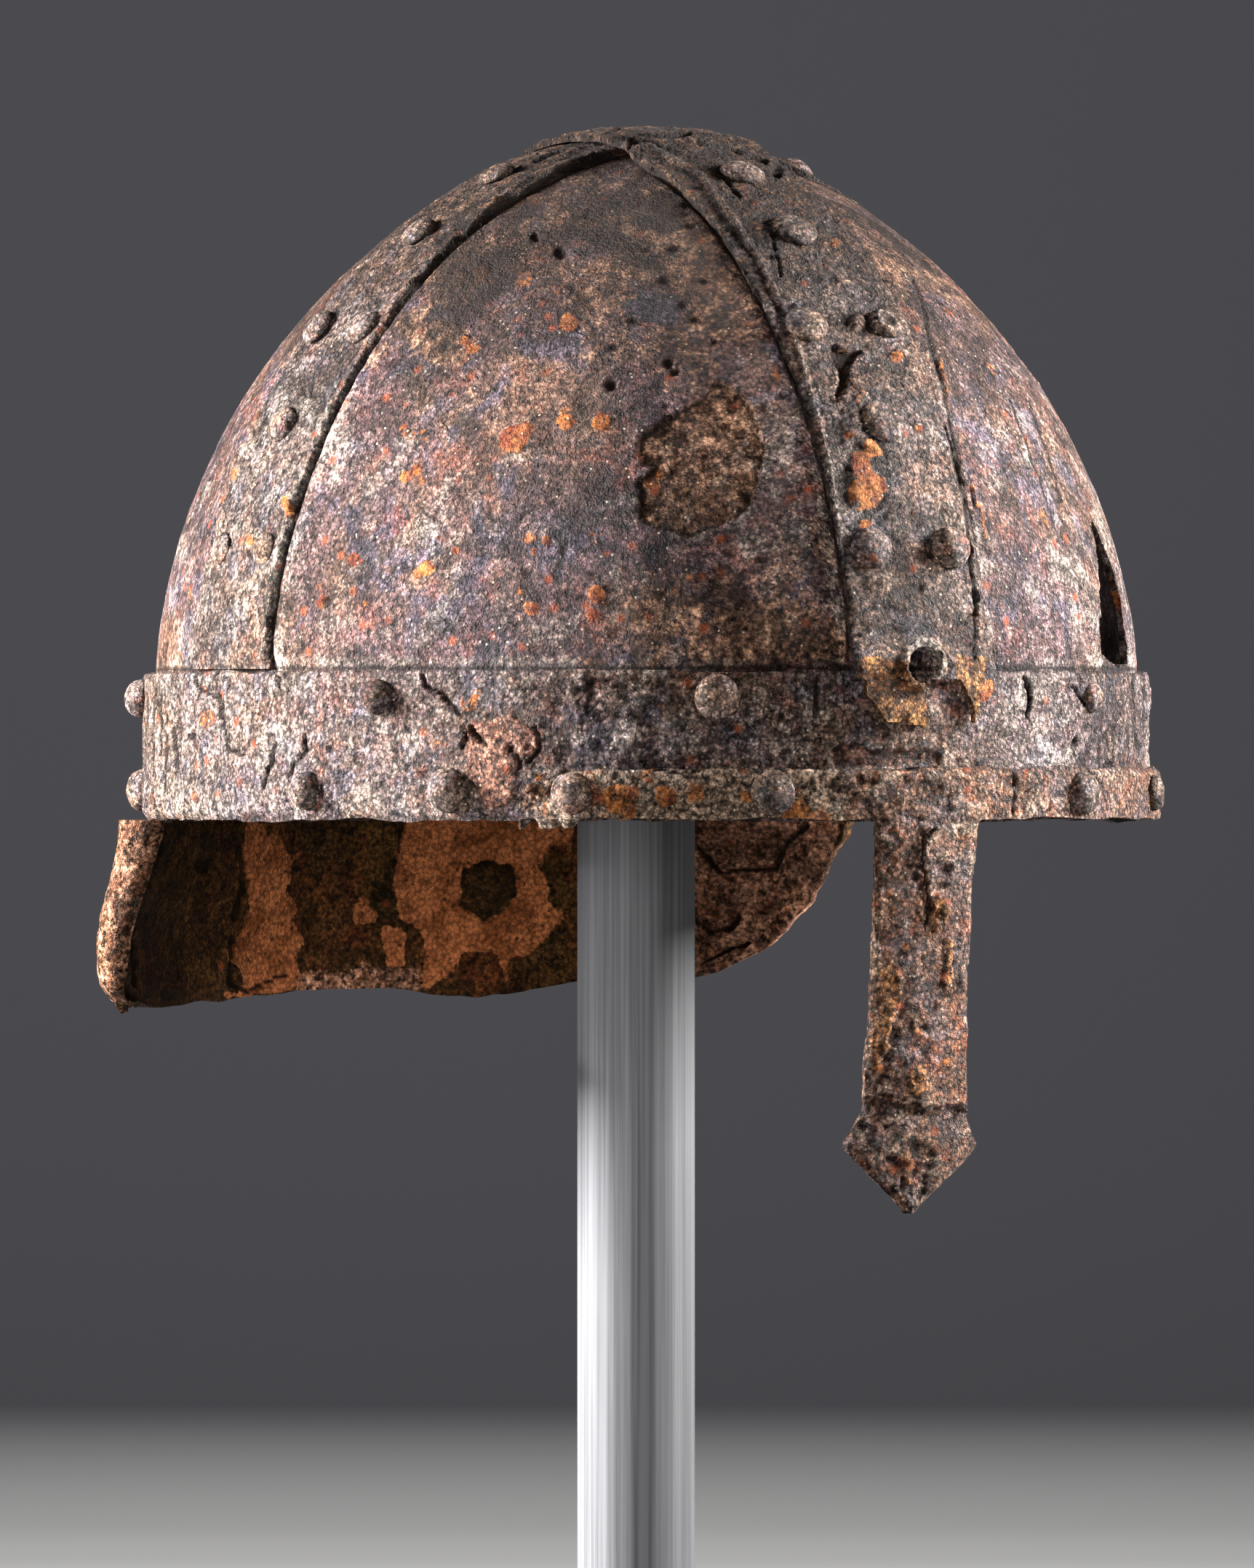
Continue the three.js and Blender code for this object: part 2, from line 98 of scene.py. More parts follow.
def domeSurface(x, y, level=0, drop=0):
    # Outside of the dome over the plan point x, y, moved out by level, and drop down its upright wall
    h = helmet
    share = np.minimum(1, np.hypot(x / h["halfWidth"], y / h["halfLength"]))
    rise = np.maximum(0, 1 - share ** h["wallPower"]) ** (1 / h["crownPower"])
    slope = h["wallPower"] * np.maximum(share, 1e-6) ** (h["wallPower"] - 2)
    up = (h["crownPower"] / h["domeHeight"]) * rise ** (h["crownPower"] - 1)
    normal = np.stack([
        slope * x / h["halfWidth"] ** 2,
        slope * y / h["halfLength"] ** 2,
        np.where(np.asarray(drop) > 0, 0, up),
    ], -1)
    normal /= np.linalg.norm(normal, axis=-1, keepdims=True)
    point = np.stack([x, y, h["browHeight"] + rise * h["domeHeight"] - drop], -1)
    return point + normal * np.asarray(level)[..., None], normal


def wallSurface(turn, z, level):
    # A point on the upright wall, turn in degrees from the front and positive to the wearer's left
    angle = np.radians(turn)
    x = helmet["halfWidth"] * np.sin(angle)
    y = -helmet["halfLength"] * np.cos(angle)
    return domeSurface(x, y, level, np.maximum(helmet["browHeight"] - z, 1e-6))


def inRow(points):
    return points + np.array([0, helmet["offset"], helmet["rim"]])


# Camera
azimuth = math.radians(view["azimuth"])
rightward = np.array([math.cos(azimuth), math.sin(azimuth), 0])
backward = np.array([math.sin(azimuth), -math.cos(azimuth), 0])
axisAcross = helmet["offset"] * rightward[1]
acrossAim = axisAcross - (view["axisPixel"] - view["width"] / 2) * view["pixel"]
target = rightward * acrossAim + np.array([0, 0, view["middle"]])


def addCamera():
    data = bpy.data.cameras.new("photoCamera")
    data.sensor_fit = "VERTICAL"
    data.sensor_height = 36
    data.lens = data.sensor_height * view["distance"] / (view["height"] * view["pixel"])
    data.clip_end = 40
    camera = bpy.data.objects.new("photoCamera", data)
    camera.location = (target + backward * view["distance"]) * millimetre
    camera.rotation_euler = (math.pi / 2, 0, azimuth)
    bpy.context.scene.collection.objects.link(camera)
    bpy.context.scene.camera = camera


def photoPixels(points):
    # Where the helmet's points fall in the photograph
    away = inRow(points) - target
    scale = view["distance"] / (view["distance"] - away @ backward) / view["pixel"]
    across = view["width"] / 2 + (away @ rightward) * scale
    down = view["height"] / 2 - away[..., 2] * scale
    return np.stack([across, down], -1)


addCamera()
print("camera placed")


# Noise, the same on every run
def hashed(cells, seed):
    mixed = cells[..., 0] * 374761393 + cells[..., 1] * 668265263 + cells[..., 2] * 2147483647 + seed * 974711
    mixed = (mixed ^ (mixed >> 13)) * 1274126177 & 0xFFFFFFFF
    mixed = (mixed ^ (mixed >> 16)) * 2246822519 & 0xFFFFFFFF
    return ((mixed ^ (mixed >> 15)) & 0xFFFFFF) / 0xFFFFFF


def blotches(points, size, seed):
    # Smooth noise from -1 to 1 with one bump every size millimetres
    scaled = points / size
    base = np.floor(scaled).astype(np.int64)
    t = scaled - base
    t = t * t * t * (t * (6 * t - 15) + 10)
    total = np.zeros(points.shape[:-1])
    for corner in np.ndindex(2, 2, 2):
        step = np.array(corner)
        weight = np.prod(np.where(step == 1, t, 1 - t), -1)
        total += weight * hashed(base + step, seed)
    return 2 * total - 1


def grain(points, size, octaves, seed, keep=0.5):
    total = 0
    weight = 1
    for octave in range(octaves):
        total = total + weight * blotches(points, size / 2**octave, seed + 31 * octave)
        weight *= keep
    return total


def pits(points, size, seed, share=1.0):
    # Depth from 0 to 1 of round pits, one in each cell of that size where the draw is under share
    scaled = points / size
    base = np.floor(scaled).astype(np.int64)
    depth = np.zeros(points.shape[:-1])
    for corner in np.ndindex(3, 3, 3):
        cell = base + np.array(corner) - 1
        centre = cell + np.stack([hashed(cell, seed + k) for k in (1, 2, 3)], -1)
        radius = 0.18 + 0.3 * hashed(cell, seed + 4)
        far = np.linalg.norm(scaled - centre, axis=-1)
        found = (hashed(cell, seed + 5) < share) * np.clip(1 - far / radius, 0, 1)
        depth = np.maximum(depth, found)
    return smooth(depth * 1.6)


def spreadOut(field, cells):
    # Box blur of a grid
    width = 2 * cells + 1
    for axis in (0, 1):
        padded = np.pad(field, [(cells + 1, cells) if k == axis else (0, 0) for k in (0, 1)], mode="edge")
        total = np.cumsum(padded, axis)
        high = np.take(total, range(width, total.shape[axis]), axis)
        field = (high - np.take(total, range(0, total.shape[axis] - width), axis)) / width
    return field


# Marks drawn over the photograph: distances in its pixels
def lineDistance(pixels, line):
    best = np.full(pixels.shape[:-1], 1e9)
    for (x1, y1), (x2, y2) in zip(line, line[1:]):
        along = np.array([x2 - x1, y2 - y1], float)
        away = pixels - (x1, y1)
        t = np.clip(away @ along / (along @ along), 0, 1)
        best = np.minimum(best, np.linalg.norm(away - t[..., None] * along, axis=-1))
    return best


def insideDistance(pixels, outline):
    # Positive inside the outline
    closed = list(outline) + [outline[0]]
    x, y = pixels[..., 0], pixels[..., 1]
    inside = np.zeros(x.shape, bool)
    for (x1, y1), (x2, y2) in zip(closed, closed[1:]):
        if y1 == y2:
            continue
        crosses = ((y1 > y) != (y2 > y)) & (x < (x2 - x1) * (y - y1) / (y2 - y1) + x1)
        inside ^= crosses
    return np.where(inside, 1, -1) * lineDistance(pixels, closed)


class Surface:
    # One sheet's grid while its relief and finish are worked out
    def __init__(self, points, normals):
        self.points = points
        self.normals = normals
        self.height = np.zeros(points.shape[:-1])
        self.rust = np.zeros(points.shape[:-1])
        self.pale = np.zeros(points.shape[:-1])
        self.dark = np.zeros(points.shape[:-1])
        self.bare = np.zeros(points.shape[:-1])
        self.pixels = photoPixels(points)
        wander = np.stack([grain(points, 7, 3, 901), grain(points, 7, 3, 902)], -1)
        self.ragged = self.pixels + 5 * wander
        self.facing = smooth((normals @ backward) / 0.15 - 0.2)

    def tint(self, mask, rust=0, pale=0, dark=0, bare=0):
        self.rust = self.rust + mask * rust
        self.pale = self.pale + mask * pale
        self.dark = self.dark + mask * dark
        self.bare = self.bare + mask * bare

    def patch(self, outline, rise, edge=4, **tints):
        # A flake that stands up or has come away, with a broken edge of that many pixels
        inside = insideDistance(self.ragged, outline)
        mask = smooth(inside / edge + 0.5) * self.facing
        self.height += rise * mask
        self.tint(mask, **tints)
        return inside

    def crack(self, line, width=5, depth=0.8, lip=0.0, **tints):
        far = lineDistance(self.pixels + 0.45 * (self.ragged - self.pixels), line)
        mask = smooth(1.25 - far / width) * self.facing
        self.height -= depth * mask
        self.height += lip * smooth(1 - far / (3.5 * width)) * self.facing * (1 - mask)
        self.tint(mask, dark=tints.pop("dark", 0.9), **tints)

    def ridge(self, line, width, rise, **tints):
        far = lineDistance(self.pixels + 0.3 * (self.ragged - self.pixels), line)
        mask = smooth(1.3 - far / width) * self.facing
        self.height += rise * mask
        self.tint(mask, **tints)

    def dome(self, centre, radius, rise, stretch=1.0, **tints):
        away = self.pixels + 0.35 * (self.ragged - self.pixels) - centre
        far = np.hypot(away[..., 0], away[..., 1] / stretch) / radius
        mask = np.sqrt(np.clip(1 - far**2, 0, 1)) * self.facing
        self.height += rise * mask
        self.tint(smooth(mask * 2), **tints)

    def cracks(self, lines, *shape, **tints):
        for line in lines:
            self.crack(line, *shape, **tints)

    def bumps(self, marks, **tints):
        # Each mark is a centre, a radius in pixels and a rise in millimetres
        for centre, radius, rise in marks:
            self.dome(centre, radius, rise, **tints)

    def rustSpots(self, marks, rise):
        # Each mark is a centre, a radius in pixels and how orange the rust is
        for centre, radius, strength in marks:
            self.dome(centre, radius, rise, rust=strength)

    def finish(self, cells=3, reach=0.12):
        # Pits go dark and worn edges pale
        relief = (self.height - spreadOut(self.height, cells)) / reach
        self.pale = self.pale + 0.22 * np.clip(relief, 0, 1.2)
        self.dark = self.dark + 0.45 * np.clip(-relief - 0.15, 0, 1.3)


def spaced(*stretches):
    # Grid stops from (start, end, step) stretches laid end to end
    stops = [stretches[0][0]]
    for start, end, step in stretches:
        count = max(1, round(abs(end - start) / step))
        stops += list(start + (end - start) * np.arange(1, count + 1) / count)
    return np.array(stops)


def coordinates(mesh):
    flat = np.empty(len(mesh.vertices) * 3)
    mesh.vertices.foreach_get("co", flat)
    return flat.reshape(-1, 3)


def facesInward(mesh):
    # Whether the sheet's faces look towards the dome's axis
    middle = np.array([0, helmet["offset"], helmet["rim"]]) * millimetre
    return sum(face.normal.dot(face.center - Vector(middle)) for face in list(mesh.polygons)[::37]) < 0


def sheetPiece(name, surface, wall, innerHeight, kept=None, nodes=(), material=None,
               wrap=False):
    # A grid is added, laid on its surface, cut, given its thickness, and then its relief
    rows, columns = surface.height.shape
    bpy.ops.mesh.primitive_grid_add(x_subdivisions=columns - 1, y_subdivisions=rows - 1, size=2)
    piece = bpy.context.object
    piece.name = piece.data.name = name
    mesh = piece.data
    flat = coordinates(mesh)
    i = np.rint((flat[:, 0] + 1) / 2 * (columns - 1)).astype(int)
    j = np.rint((flat[:, 1] + 1) / 2 * (rows - 1)).astype(int)
    outward = surface.normals[j, i]
    mesh.vertices.foreach_set("co", (inRow(surface.points[j, i]) * millimetre).ravel())
    for key, field in (("lift", surface.height), ("sink", innerHeight)):
        layer = mesh.attributes.new(key, "FLOAT_VECTOR", "POINT")
        layer.data.foreach_set("vector", (outward * field[j, i][:, None] * millimetre).ravel())
    finish = mesh.attributes.new("finish", "FLOAT_COLOR", "POINT")
    tints = [np.clip(field[j, i], 0, 1) for field in (surface.rust, surface.pale, surface.dark, surface.bare)]
    finish.data.foreach_set("color", np.stack(tints, -1).astype(np.float32).ravel())
    bpy.ops.object.mode_set(mode="EDIT")
    bpy.ops.mesh.select_all(action="DESELECT")
    bpy.ops.object.mode_set(mode="OBJECT")
    if kept is not None:
        mesh.vertices.foreach_set("select", ~kept[j, i])
        bpy.ops.object.mode_set(mode="EDIT")
        bpy.ops.mesh.delete(type="VERT")
        bpy.ops.mesh.select_non_manifold()
        bpy.ops.mesh.vertices_smooth(factor=0.5, repeat=2)
        bpy.ops.mesh.select_all(action="DESELECT")
        bpy.ops.object.mode_set(mode="OBJECT")
    bpy.ops.object.mode_set(mode="EDIT")
    bpy.ops.mesh.select_all(action="SELECT")
    if wrap:
        bpy.ops.mesh.remove_doubles(threshold=0.01 * millimetre)
    bpy.ops.object.mode_set(mode="OBJECT")
    if facesInward(mesh):
        bpy.ops.object.mode_set(mode="EDIT")
        bpy.ops.mesh.flip_normals()
        bpy.ops.object.mode_set(mode="OBJECT")
    outer = len(mesh.vertices)
    solidify = piece.modifiers.new("wall", "SOLIDIFY")
    solidify.thickness = wall * millimetre
    solidify.offset = -1
    bpy.ops.object.modifier_apply(modifier="wall")
    mesh = piece.data
    count = len(mesh.vertices)
    place = coordinates(mesh)
    for key, part in (("lift", slice(0, outer)), ("sink", slice(outer, count))):
        vectors = np.empty(count * 3)
        mesh.attributes[key].data.foreach_get("vector", vectors)
        place[part] += vectors.reshape(-1, 3)[part]
    mesh.vertices.foreach_set("co", place.ravel())
    for key in ("lift", "sink"):
        mesh.attributes.remove(mesh.attributes[key])
    mesh.update()
    bpy.ops.object.shade_smooth_by_angle(angle=math.radians(50))
    mesh.materials.append(material)
    piece.select_set(False)
    if nodes:
        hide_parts(*nodes)
    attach(piece, "root")
    print(name, "made:", len(mesh.polygons), "faces")
    return piece


# Materials
def linear(hexColour):
    values = [int(hexColour[k:k + 2], 16) / 255 for k in (1, 3, 5)]
    return tuple(v / 12.92 if v <= 0.04045 else ((v + 0.055) / 1.055) ** 2.4 for v in values) + (1,)


def add(tree, kind, links=(), **settings):
    # One node: links are (input, socket) pairs, settings are its properties or unlinked inputs
    node = tree.nodes.new(kind)
    for key, value in settings.items():
        if hasattr(node, key):
            setattr(node, key, value)
        else:
            node.inputs[key.replace("_", " ")].default_value = value
    for key, socket in links:
        tree.links.new(socket, node.inputs[key])
    return node


def ramp(tree, socket, *stops):
    # Colour stops as (place, colour), colour a hex value or a number for a grey
    node = add(tree, "ShaderNodeValToRGB", [("Fac", socket)])
    elements = node.color_ramp.elements
    while len(elements) < len(stops):
        elements.new(0.5)
    for element, (place, colour) in zip(elements, stops):
        element.position = place
        element.color = linear(colour) if isinstance(colour, str) else (colour, colour, colour, 1)
    return node.outputs["Color"]


def mixed(tree, factor, first, second, blend="MIX"):
    node = add(tree, "ShaderNodeMix", data_type="RGBA", blend_type=blend, clamp_factor=True)
    for key, value in ((0, factor), (6, first), (7, second)):
        if isinstance(value, bpy.types.NodeSocket):
            tree.links.new(value, node.inputs[key])
        else:
            node.inputs[key].default_value = linear(value) if isinstance(value, str) else value
    return node.outputs[2]


def worked(tree, operation, *values, clamp=False):
    node = add(tree, "ShaderNodeMath", operation=operation, use_clamp=clamp)
    for key, value in enumerate(values):
        if isinstance(value, bpy.types.NodeSocket):
            tree.links.new(value, node.inputs[key])
        else:
            node.inputs[key].default_value = value
    return node.outputs[0]


def perMetre(size):
    # A pattern's scale from the size of one of its features in millimetres
    return 1 / (size * millimetre)


def corrodedIron(name, look):
    # Wrought iron out of the ground: dull layers of violet and brown oxide, dusted with beige soil,
    # gritty and flaking, with live orange rust where the skin has broken
    material = bpy.data.materials.new(name)
    material.use_nodes = True
    tree = material.node_tree
    tree.nodes.clear()
    place = add(tree, "ShaderNodeTexCoord").outputs["Object"]

    def noise(size, detail=4.0, rough=0.6, distort=0.0, shift=0.0):
        where = add(tree, "ShaderNodeMapping", [("Vector", place)],
                    Location=(shift, -shift, 2 * shift)).outputs[0]
        node = add(tree, "ShaderNodeTexNoise", [("Vector", where)], Scale=perMetre(size), Detail=detail,
                   Roughness=rough, Distortion=distort)
        return node.outputs["Fac"]

    def dots(size, low, high, share, shift):
        # Round spots in that share of the cells, with soft edges from low to high in cell sizes
        where = add(tree, "ShaderNodeMapping", [("Vector", place)],
                    Location=(shift, shift, -shift)).outputs[0]
        field = add(tree, "ShaderNodeTexVoronoi", [("Vector", where)], Scale=perMetre(size), Randomness=1.0)
        drawn = add(tree, "ShaderNodeSeparateColor", [("Color", field.outputs["Color"])]).outputs["Red"]
        ragged = worked(tree, "MULTIPLY", fine, 0.12)
        near = ramp(tree, worked(tree, "ADD", field.outputs["Distance"], ragged), (low, 1.0), (high, 0.0))
        return worked(tree, "MULTIPLY", near, ramp(tree, drawn, (1 - share, 0.0), (1 - 0.9 * share, 1.0)))

    finish = add(tree, "ShaderNodeAttribute", attribute_name="finish")
    parts = add(tree, "ShaderNodeSeparateColor", [("Color", finish.outputs["Color"])])
    rust, pale, dark = (parts.outputs[k] for k in ("Red", "Green", "Blue"))

    broad = noise(look["cloud"], 3, 0.6, 0.5, 0.3)
    middle = noise(look["mottle"], 6, 0.72, 0.4, 0.7)
    fine = noise(look["grain"], 4, 0.75, 0, 1.3)
    grit = noise(look["grit"], 2, 0.8, 0, 2.1)

    # The oxide skin: brown and violet in clouds, slate and red-brown in smaller ones
    skin = mixed(tree, ramp(tree, broad, (0.4, 0.0), (0.6, 1.0)), look["skin"], look["skinWarm"])
    slate = ramp(tree, noise(look["mottle"] * 1.7, 6, 0.7, 0.6, 3.3), (0.5, 0.0), (0.6, look["coolShare"]))
    skin = mixed(tree, slate, skin, look["cool"])
    ruddy = ramp(tree, noise(look["mottle"] * 1.3, 6, 0.75, 0.3, 5.1), (0.53, 0.0), (0.63, look["redShare"]))
    skin = mixed(tree, ruddy, skin, look["red"])

    # Bare brown metal where a flake has come away
    bareField = worked(tree, "ADD", finish.outputs["Alpha"],
                       worked(tree, "MULTIPLY", worked(tree, "SUBTRACT", fine, 0.5), 1.2))
    bareColour = mixed(tree, ramp(tree, noise(look["grain"] * 2.2, 5, 0.75, 0, 6.3), (0.42, 0.0), (0.6, 1.0)),
                       look["bareDeep"], look["bareBright"])
    skin = mixed(tree, ramp(tree, bareField, (0.3, 0.0), (0.55, 0.9)), skin, bareColour)

    # Beige soil, thicker in some places than others, and lying in the grain rather than on it
    soil = worked(tree, "ADD", pale, worked(tree, "MULTIPLY", worked(tree, "SUBTRACT", middle, 0.5), 3.0))
    soil = worked(tree, "ADD", soil, worked(tree, "MULTIPLY", worked(tree, "SUBTRACT", grit, 0.5), 1.0))
    soil = worked(tree, "SUBTRACT", soil, worked(tree, "MULTIPLY", finish.outputs["Alpha"], 0.9))
    low, high = look["dustFrom"]
    skin = mixed(tree, ramp(tree, soil, (low, 0.0), (high, look["dustShare"])), skin, look["dust"])

    # Light and dark patches, then a crust of small lumps, with painted shade in the creases between them
    tone = noise(look["mottle"] * 0.5, 5, 0.7, 0.8, 9.1)
    skin = mixed(tree, 1.0, skin, ramp(tree, tone, (0.38, look["toneLow"]), (0.62, 2 - look["toneLow"])),
                 "MULTIPLY")
    stain = noise(look["mottle"] * 2.4, 7, 0.72, 0.9, 4.4)
    skin = mixed(tree, 1.0, skin, ramp(tree, stain, (0.4, look["stainLow"]), (0.6, 2 - look["stainLow"])),
                 "MULTIPLY")
    lumps = add(tree, "ShaderNodeTexVoronoi", [("Vector", place)], Scale=perMetre(look["lump"]),
                Randomness=1.0)
    creaseShade = worked(tree, "ADD", lumps.outputs["Distance"], worked(tree, "MULTIPLY", grit, 0.5))
    skin = mixed(tree, 1.0, skin, ramp(tree, creaseShade, (0.62, 1.12), (0.95, look["creaseShade"])), "MULTIPLY")
    # Painted shade and highlight: the crust's low grains darker and its high grains lighter
    skin = mixed(tree, 1.0, skin, ramp(tree, grit, (0.36, look["gritLow"]), (0.64, look["gritHigh"])),
                 "MULTIPLY")
    skin = mixed(tree, 1.0, skin, ramp(tree, fine, (0.38, 0.2), (0.5, 1.0), (0.64, 1.3)), "MULTIPLY")

    # Live rust where it is marked, and in small spots of its own
    rustField = worked(tree, "ADD", rust, worked(tree, "MULTIPLY", worked(tree, "SUBTRACT", fine, 0.5), 1.5))
    rusted = ramp(tree, rustField, (0.4, 0.0), (0.58, 0.92))
    rustColour = mixed(tree, ramp(tree, noise(look["mottle"], 6, 0.75, 0, 7.7), (0.42, 0.0), (0.58, 1.0)),
                       look["rustDeep"], look["rustBright"])
    # Painted shade in the creases on the rust as well
    rustColour = mixed(tree, 1.0, rustColour, ramp(tree, creaseShade, (0.6, 1.1), (0.95, 0.5)), "MULTIPLY")
    skin = mixed(tree, rusted, skin, rustColour)
    small = dots(look["spot"], 0.14, 0.34, look["spotShare"], 0.4)
    skin = mixed(tree, worked(tree, "MULTIPLY", small, 0.75), skin, look["spotColour"])
    hollows = worked(tree, "MULTIPLY", dots(look["grain"] * 1.5, 0.16, 0.34, 0.35, 0.9), 0.8)
    skin = mixed(tree, hollows, skin, look["hollow"])
    specks = worked(tree, "MULTIPLY", dots(look["grit"] * 1.9, 0.2, 0.42, look["speckShare"], 1.9), 0.7)
    skin = mixed(tree, specks, skin, look["speck"])
    skin = mixed(tree, ramp(tree, dark, (0.12, 0.0), (0.9, 0.94)), skin, look["hollow"])

    # Relief too fine for the mesh: crust, grit and the steps of thin layers
    crust = worked(tree, "ADD", worked(tree, "MULTIPLY", fine, 1.3), worked(tree, "MULTIPLY", grit, 1.0))
    crust = worked(tree, "ADD", crust, worked(tree, "MULTIPLY", middle, look["swell"]))
    sunken = worked(tree, "MULTIPLY", lumps.outputs["Distance"], look["lumps"])
    crust = worked(tree, "SUBTRACT", crust, sunken)
    layers = worked(tree, "MULTIPLY", ramp(tree, middle, (0.46, 0.0), (0.5, 0.55), (0.55, 0.55), (0.58, 1.0)),
                    look["flake"])
    bump = add(tree, "ShaderNodeBump", [("Height", worked(tree, "ADD", crust, layers))], Strength=1.0,
               Distance=look["relief"] * millimetre)
    roughness = ramp(tree, fine, (0.3, look["roughLow"]), (0.7, look["roughHigh"]))
    shader = add(tree, "ShaderNodeBsdfPrincipled",
                 [("Base Color", skin), ("Roughness", roughness), ("Normal", bump.outputs["Normal"])],
                 Metallic=0.0, Specular_IOR_Level=look["specular"])
    add(tree, "ShaderNodeOutputMaterial", [("Surface", shader.outputs["BSDF"])])
    return material


baseLook = {
    "skin": "#4c3a3a", "skinWarm": "#594236", "cool": "#413c48", "coolShare": 0.75, "red": "#693a2c",
    "redShare": 0.6, "dust": "#95887c", "dustFrom": (0.1, 1.0), "dustShare": 0.75,
    "bareDeep": "#4b3327", "bareBright": "#947058", "rustDeep": "#5c2411", "rustBright": "#a86632",
    "spotColour": "#7c3a1e", "speck": "#c4b19a", "hollow": "#100906",
    "cloud": 42, "mottle": 9, "grain": 1.6, "grit": 0.5, "lump": 1.0, "spot": 5, "spotShare": 0.25,
    "speckShare": 0.06, "gritLow": 0.5, "gritHigh": 1.5, "creaseShade": 0.4, "lumps": 0.25, "toneLow": 0.5,
    "stainLow": 0.45, "swell": 1.2,
    "relief": 2.0, "flake": 0.5, "roughLow": 0.5, "roughHigh": 0.85, "specular": 0.05,
}
ironLooks = {
    "plateIron": {},
    "bandIron": {"skin": "#584a45", "skinWarm": "#634c3e", "cool": "#4f4a50", "dust": "#95877a",
                 "dustFrom": (0.0, 1.0), "dustShare": 0.7, "relief": 2.6, "lumps": 0.5, "creaseShade": 0.3,
                 "spotShare": 0.12, "mottle": 6, "redShare": 0.45, "gritHigh": 1.35, "bareDeep": "#6a4024",
                 "bareBright": "#a97848"},
    "browIron": {"skin": "#604e4d", "skinWarm": "#685042", "cool": "#58525c", "dust": "#97897d",
                 "stainLow": 0.6, "dustFrom": (0.0, 1.0), "dustShare": 0.75, "relief": 2.8, "lumps": 0.5,
                 "creaseShade": 0.3, "spotShare": 0.18, "mottle": 5, "red": "#6e3a29", "gritHigh": 1.4,
                 "bareDeep": "#6a4436", "bareBright": "#936957"},
    "nasalIron": {"skin": "#63493d", "skinWarm": "#6f4e3a", "cool": "#5d5051", "dust": "#97826f",
                  "stainLow": 0.65, "dustFrom": (0.25, 1.0), "relief": 2.8, "lumps": 0.6, "creaseShade": 0.26,
                  "spotShare": 0.24, "mottle": 5, "red": "#6e361b", "redShare": 0.85, "bareDeep": "#5a341c",
                  "bareBright": "#986a42"},
    # The neck guard's iron: its own dark brown, darkened further as painted shade for its inner face
    "shadedGuardIron": {"skin": "#38240f", "skinWarm": "#40250f", "cool": "#302111", "coolShare": 0.4,
                  "red": "#45200f", "redShare": 0.8, "dust": "#6a5642", "dustFrom": (0.9, 1.0),
                  "dustShare": 0.6, "bareDeep": "#5c3a2a", "bareBright": "#9a7059", "rustDeep": "#5f3319",
                  "rustBright": "#945834", "stainLow": 0.6, "gritLow": 0.75, "gritHigh": 1.25, "cloud": 30,
                  "mottle": 11, "spotShare": 0.05, "relief": 1.5, "speckShare": 0.0, "specular": 0.03,
                  "hollow": "#0d0702"},
    "rivetIron": {"skin": "#5e4e47", "skinWarm": "#675040", "cool": "#5a5257", "dust": "#93857a",
                  "dustFrom": (0.0, 1.0), "cloud": 12, "mottle": 4, "grain": 1.3, "creaseShade": 0.35,
                  "lumps": 0.5, "spotShare": 0.1, "gritHigh": 1.35, "relief": 1.4},
}
materials = {name: corrodedIron(name, {**baseLook, **look}) for name, look in ironLooks.items()}


def plainMaterial(name):
    # A new material, its node tree, its shader and the place on the piece
    material = bpy.data.materials.new(name)
    material.use_nodes = True
    tree = material.node_tree
    place = add(tree, "ShaderNodeTexCoord").outputs["Object"]
    return material, tree, tree.nodes["Principled BSDF"], place


def brushedAluminium():
    # Extruded aluminium rod, brushed along its length: fine grey streaks and a long soft highlight
    material, tree, shader, place = plainMaterial("brushedAluminium")
    streak = 1.5  # width of a streak, drawn coarser than the real brushing so that it shows
    along = 220
    where = add(tree, "ShaderNodeMapping", [("Vector", place)],
                Scale=(perMetre(streak), perMetre(streak), perMetre(along))).outputs[0]
    lines = add(tree, "ShaderNodeTexNoise", [("Vector", where)], Scale=1.0, Detail=4,
                Roughness=0.7).outputs["Fac"]
    brushed = ramp(tree, lines, (0.36, "#29292a"), (0.62, "#404042"))
    # Painted light and shade: paler down one side and darker down the other
    side = add(tree, "ShaderNodeVectorMath", [(0, place)], operation="DOT_PRODUCT")
    perMetreAcross = 40  # brings the rod's width to between 0 and 1
    side.inputs[1].default_value = rightward * perMetreAcross
    across = worked(tree, "ADD", side.outputs["Value"], 0.5)
    paintedLightAndShade = ramp(tree, across, (0.34, 1.25), (0.74, 0.6))
    tree.links.new(mixed(tree, 1.0, brushed, paintedLightAndShade, "MULTIPLY"), shader.inputs["Base Color"])
    tree.links.new(ramp(tree, lines, (0.3, 0.8), (0.7, 0.68)), shader.inputs["Roughness"])
    shader.inputs["Metallic"].default_value = 0.2
    shader.inputs["Specular IOR Level"].default_value = 0.25
    return material


def powderCoat():
    # Powder-coated steel: an even dark satin grey with a fine orange-peel texture
    material, tree, shader, place = plainMaterial("powderCoatedSteel")
    peel = add(tree, "ShaderNodeTexNoise", [("Vector", place)], Scale=perMetre(0.9), Detail=2).outputs["Fac"]
    bump = add(tree, "ShaderNodeBump", [("Height", peel)], Strength=0.4, Distance=0.1 * millimetre)
    tree.links.new(bump.outputs["Normal"], shader.inputs["Normal"])
    tree.links.new(ramp(tree, peel, (0.35, "#2b2c2e"), (0.65, "#36373a")), shader.inputs["Base Color"])
    shader.inputs["Roughness"].default_value = 0.5
    return material


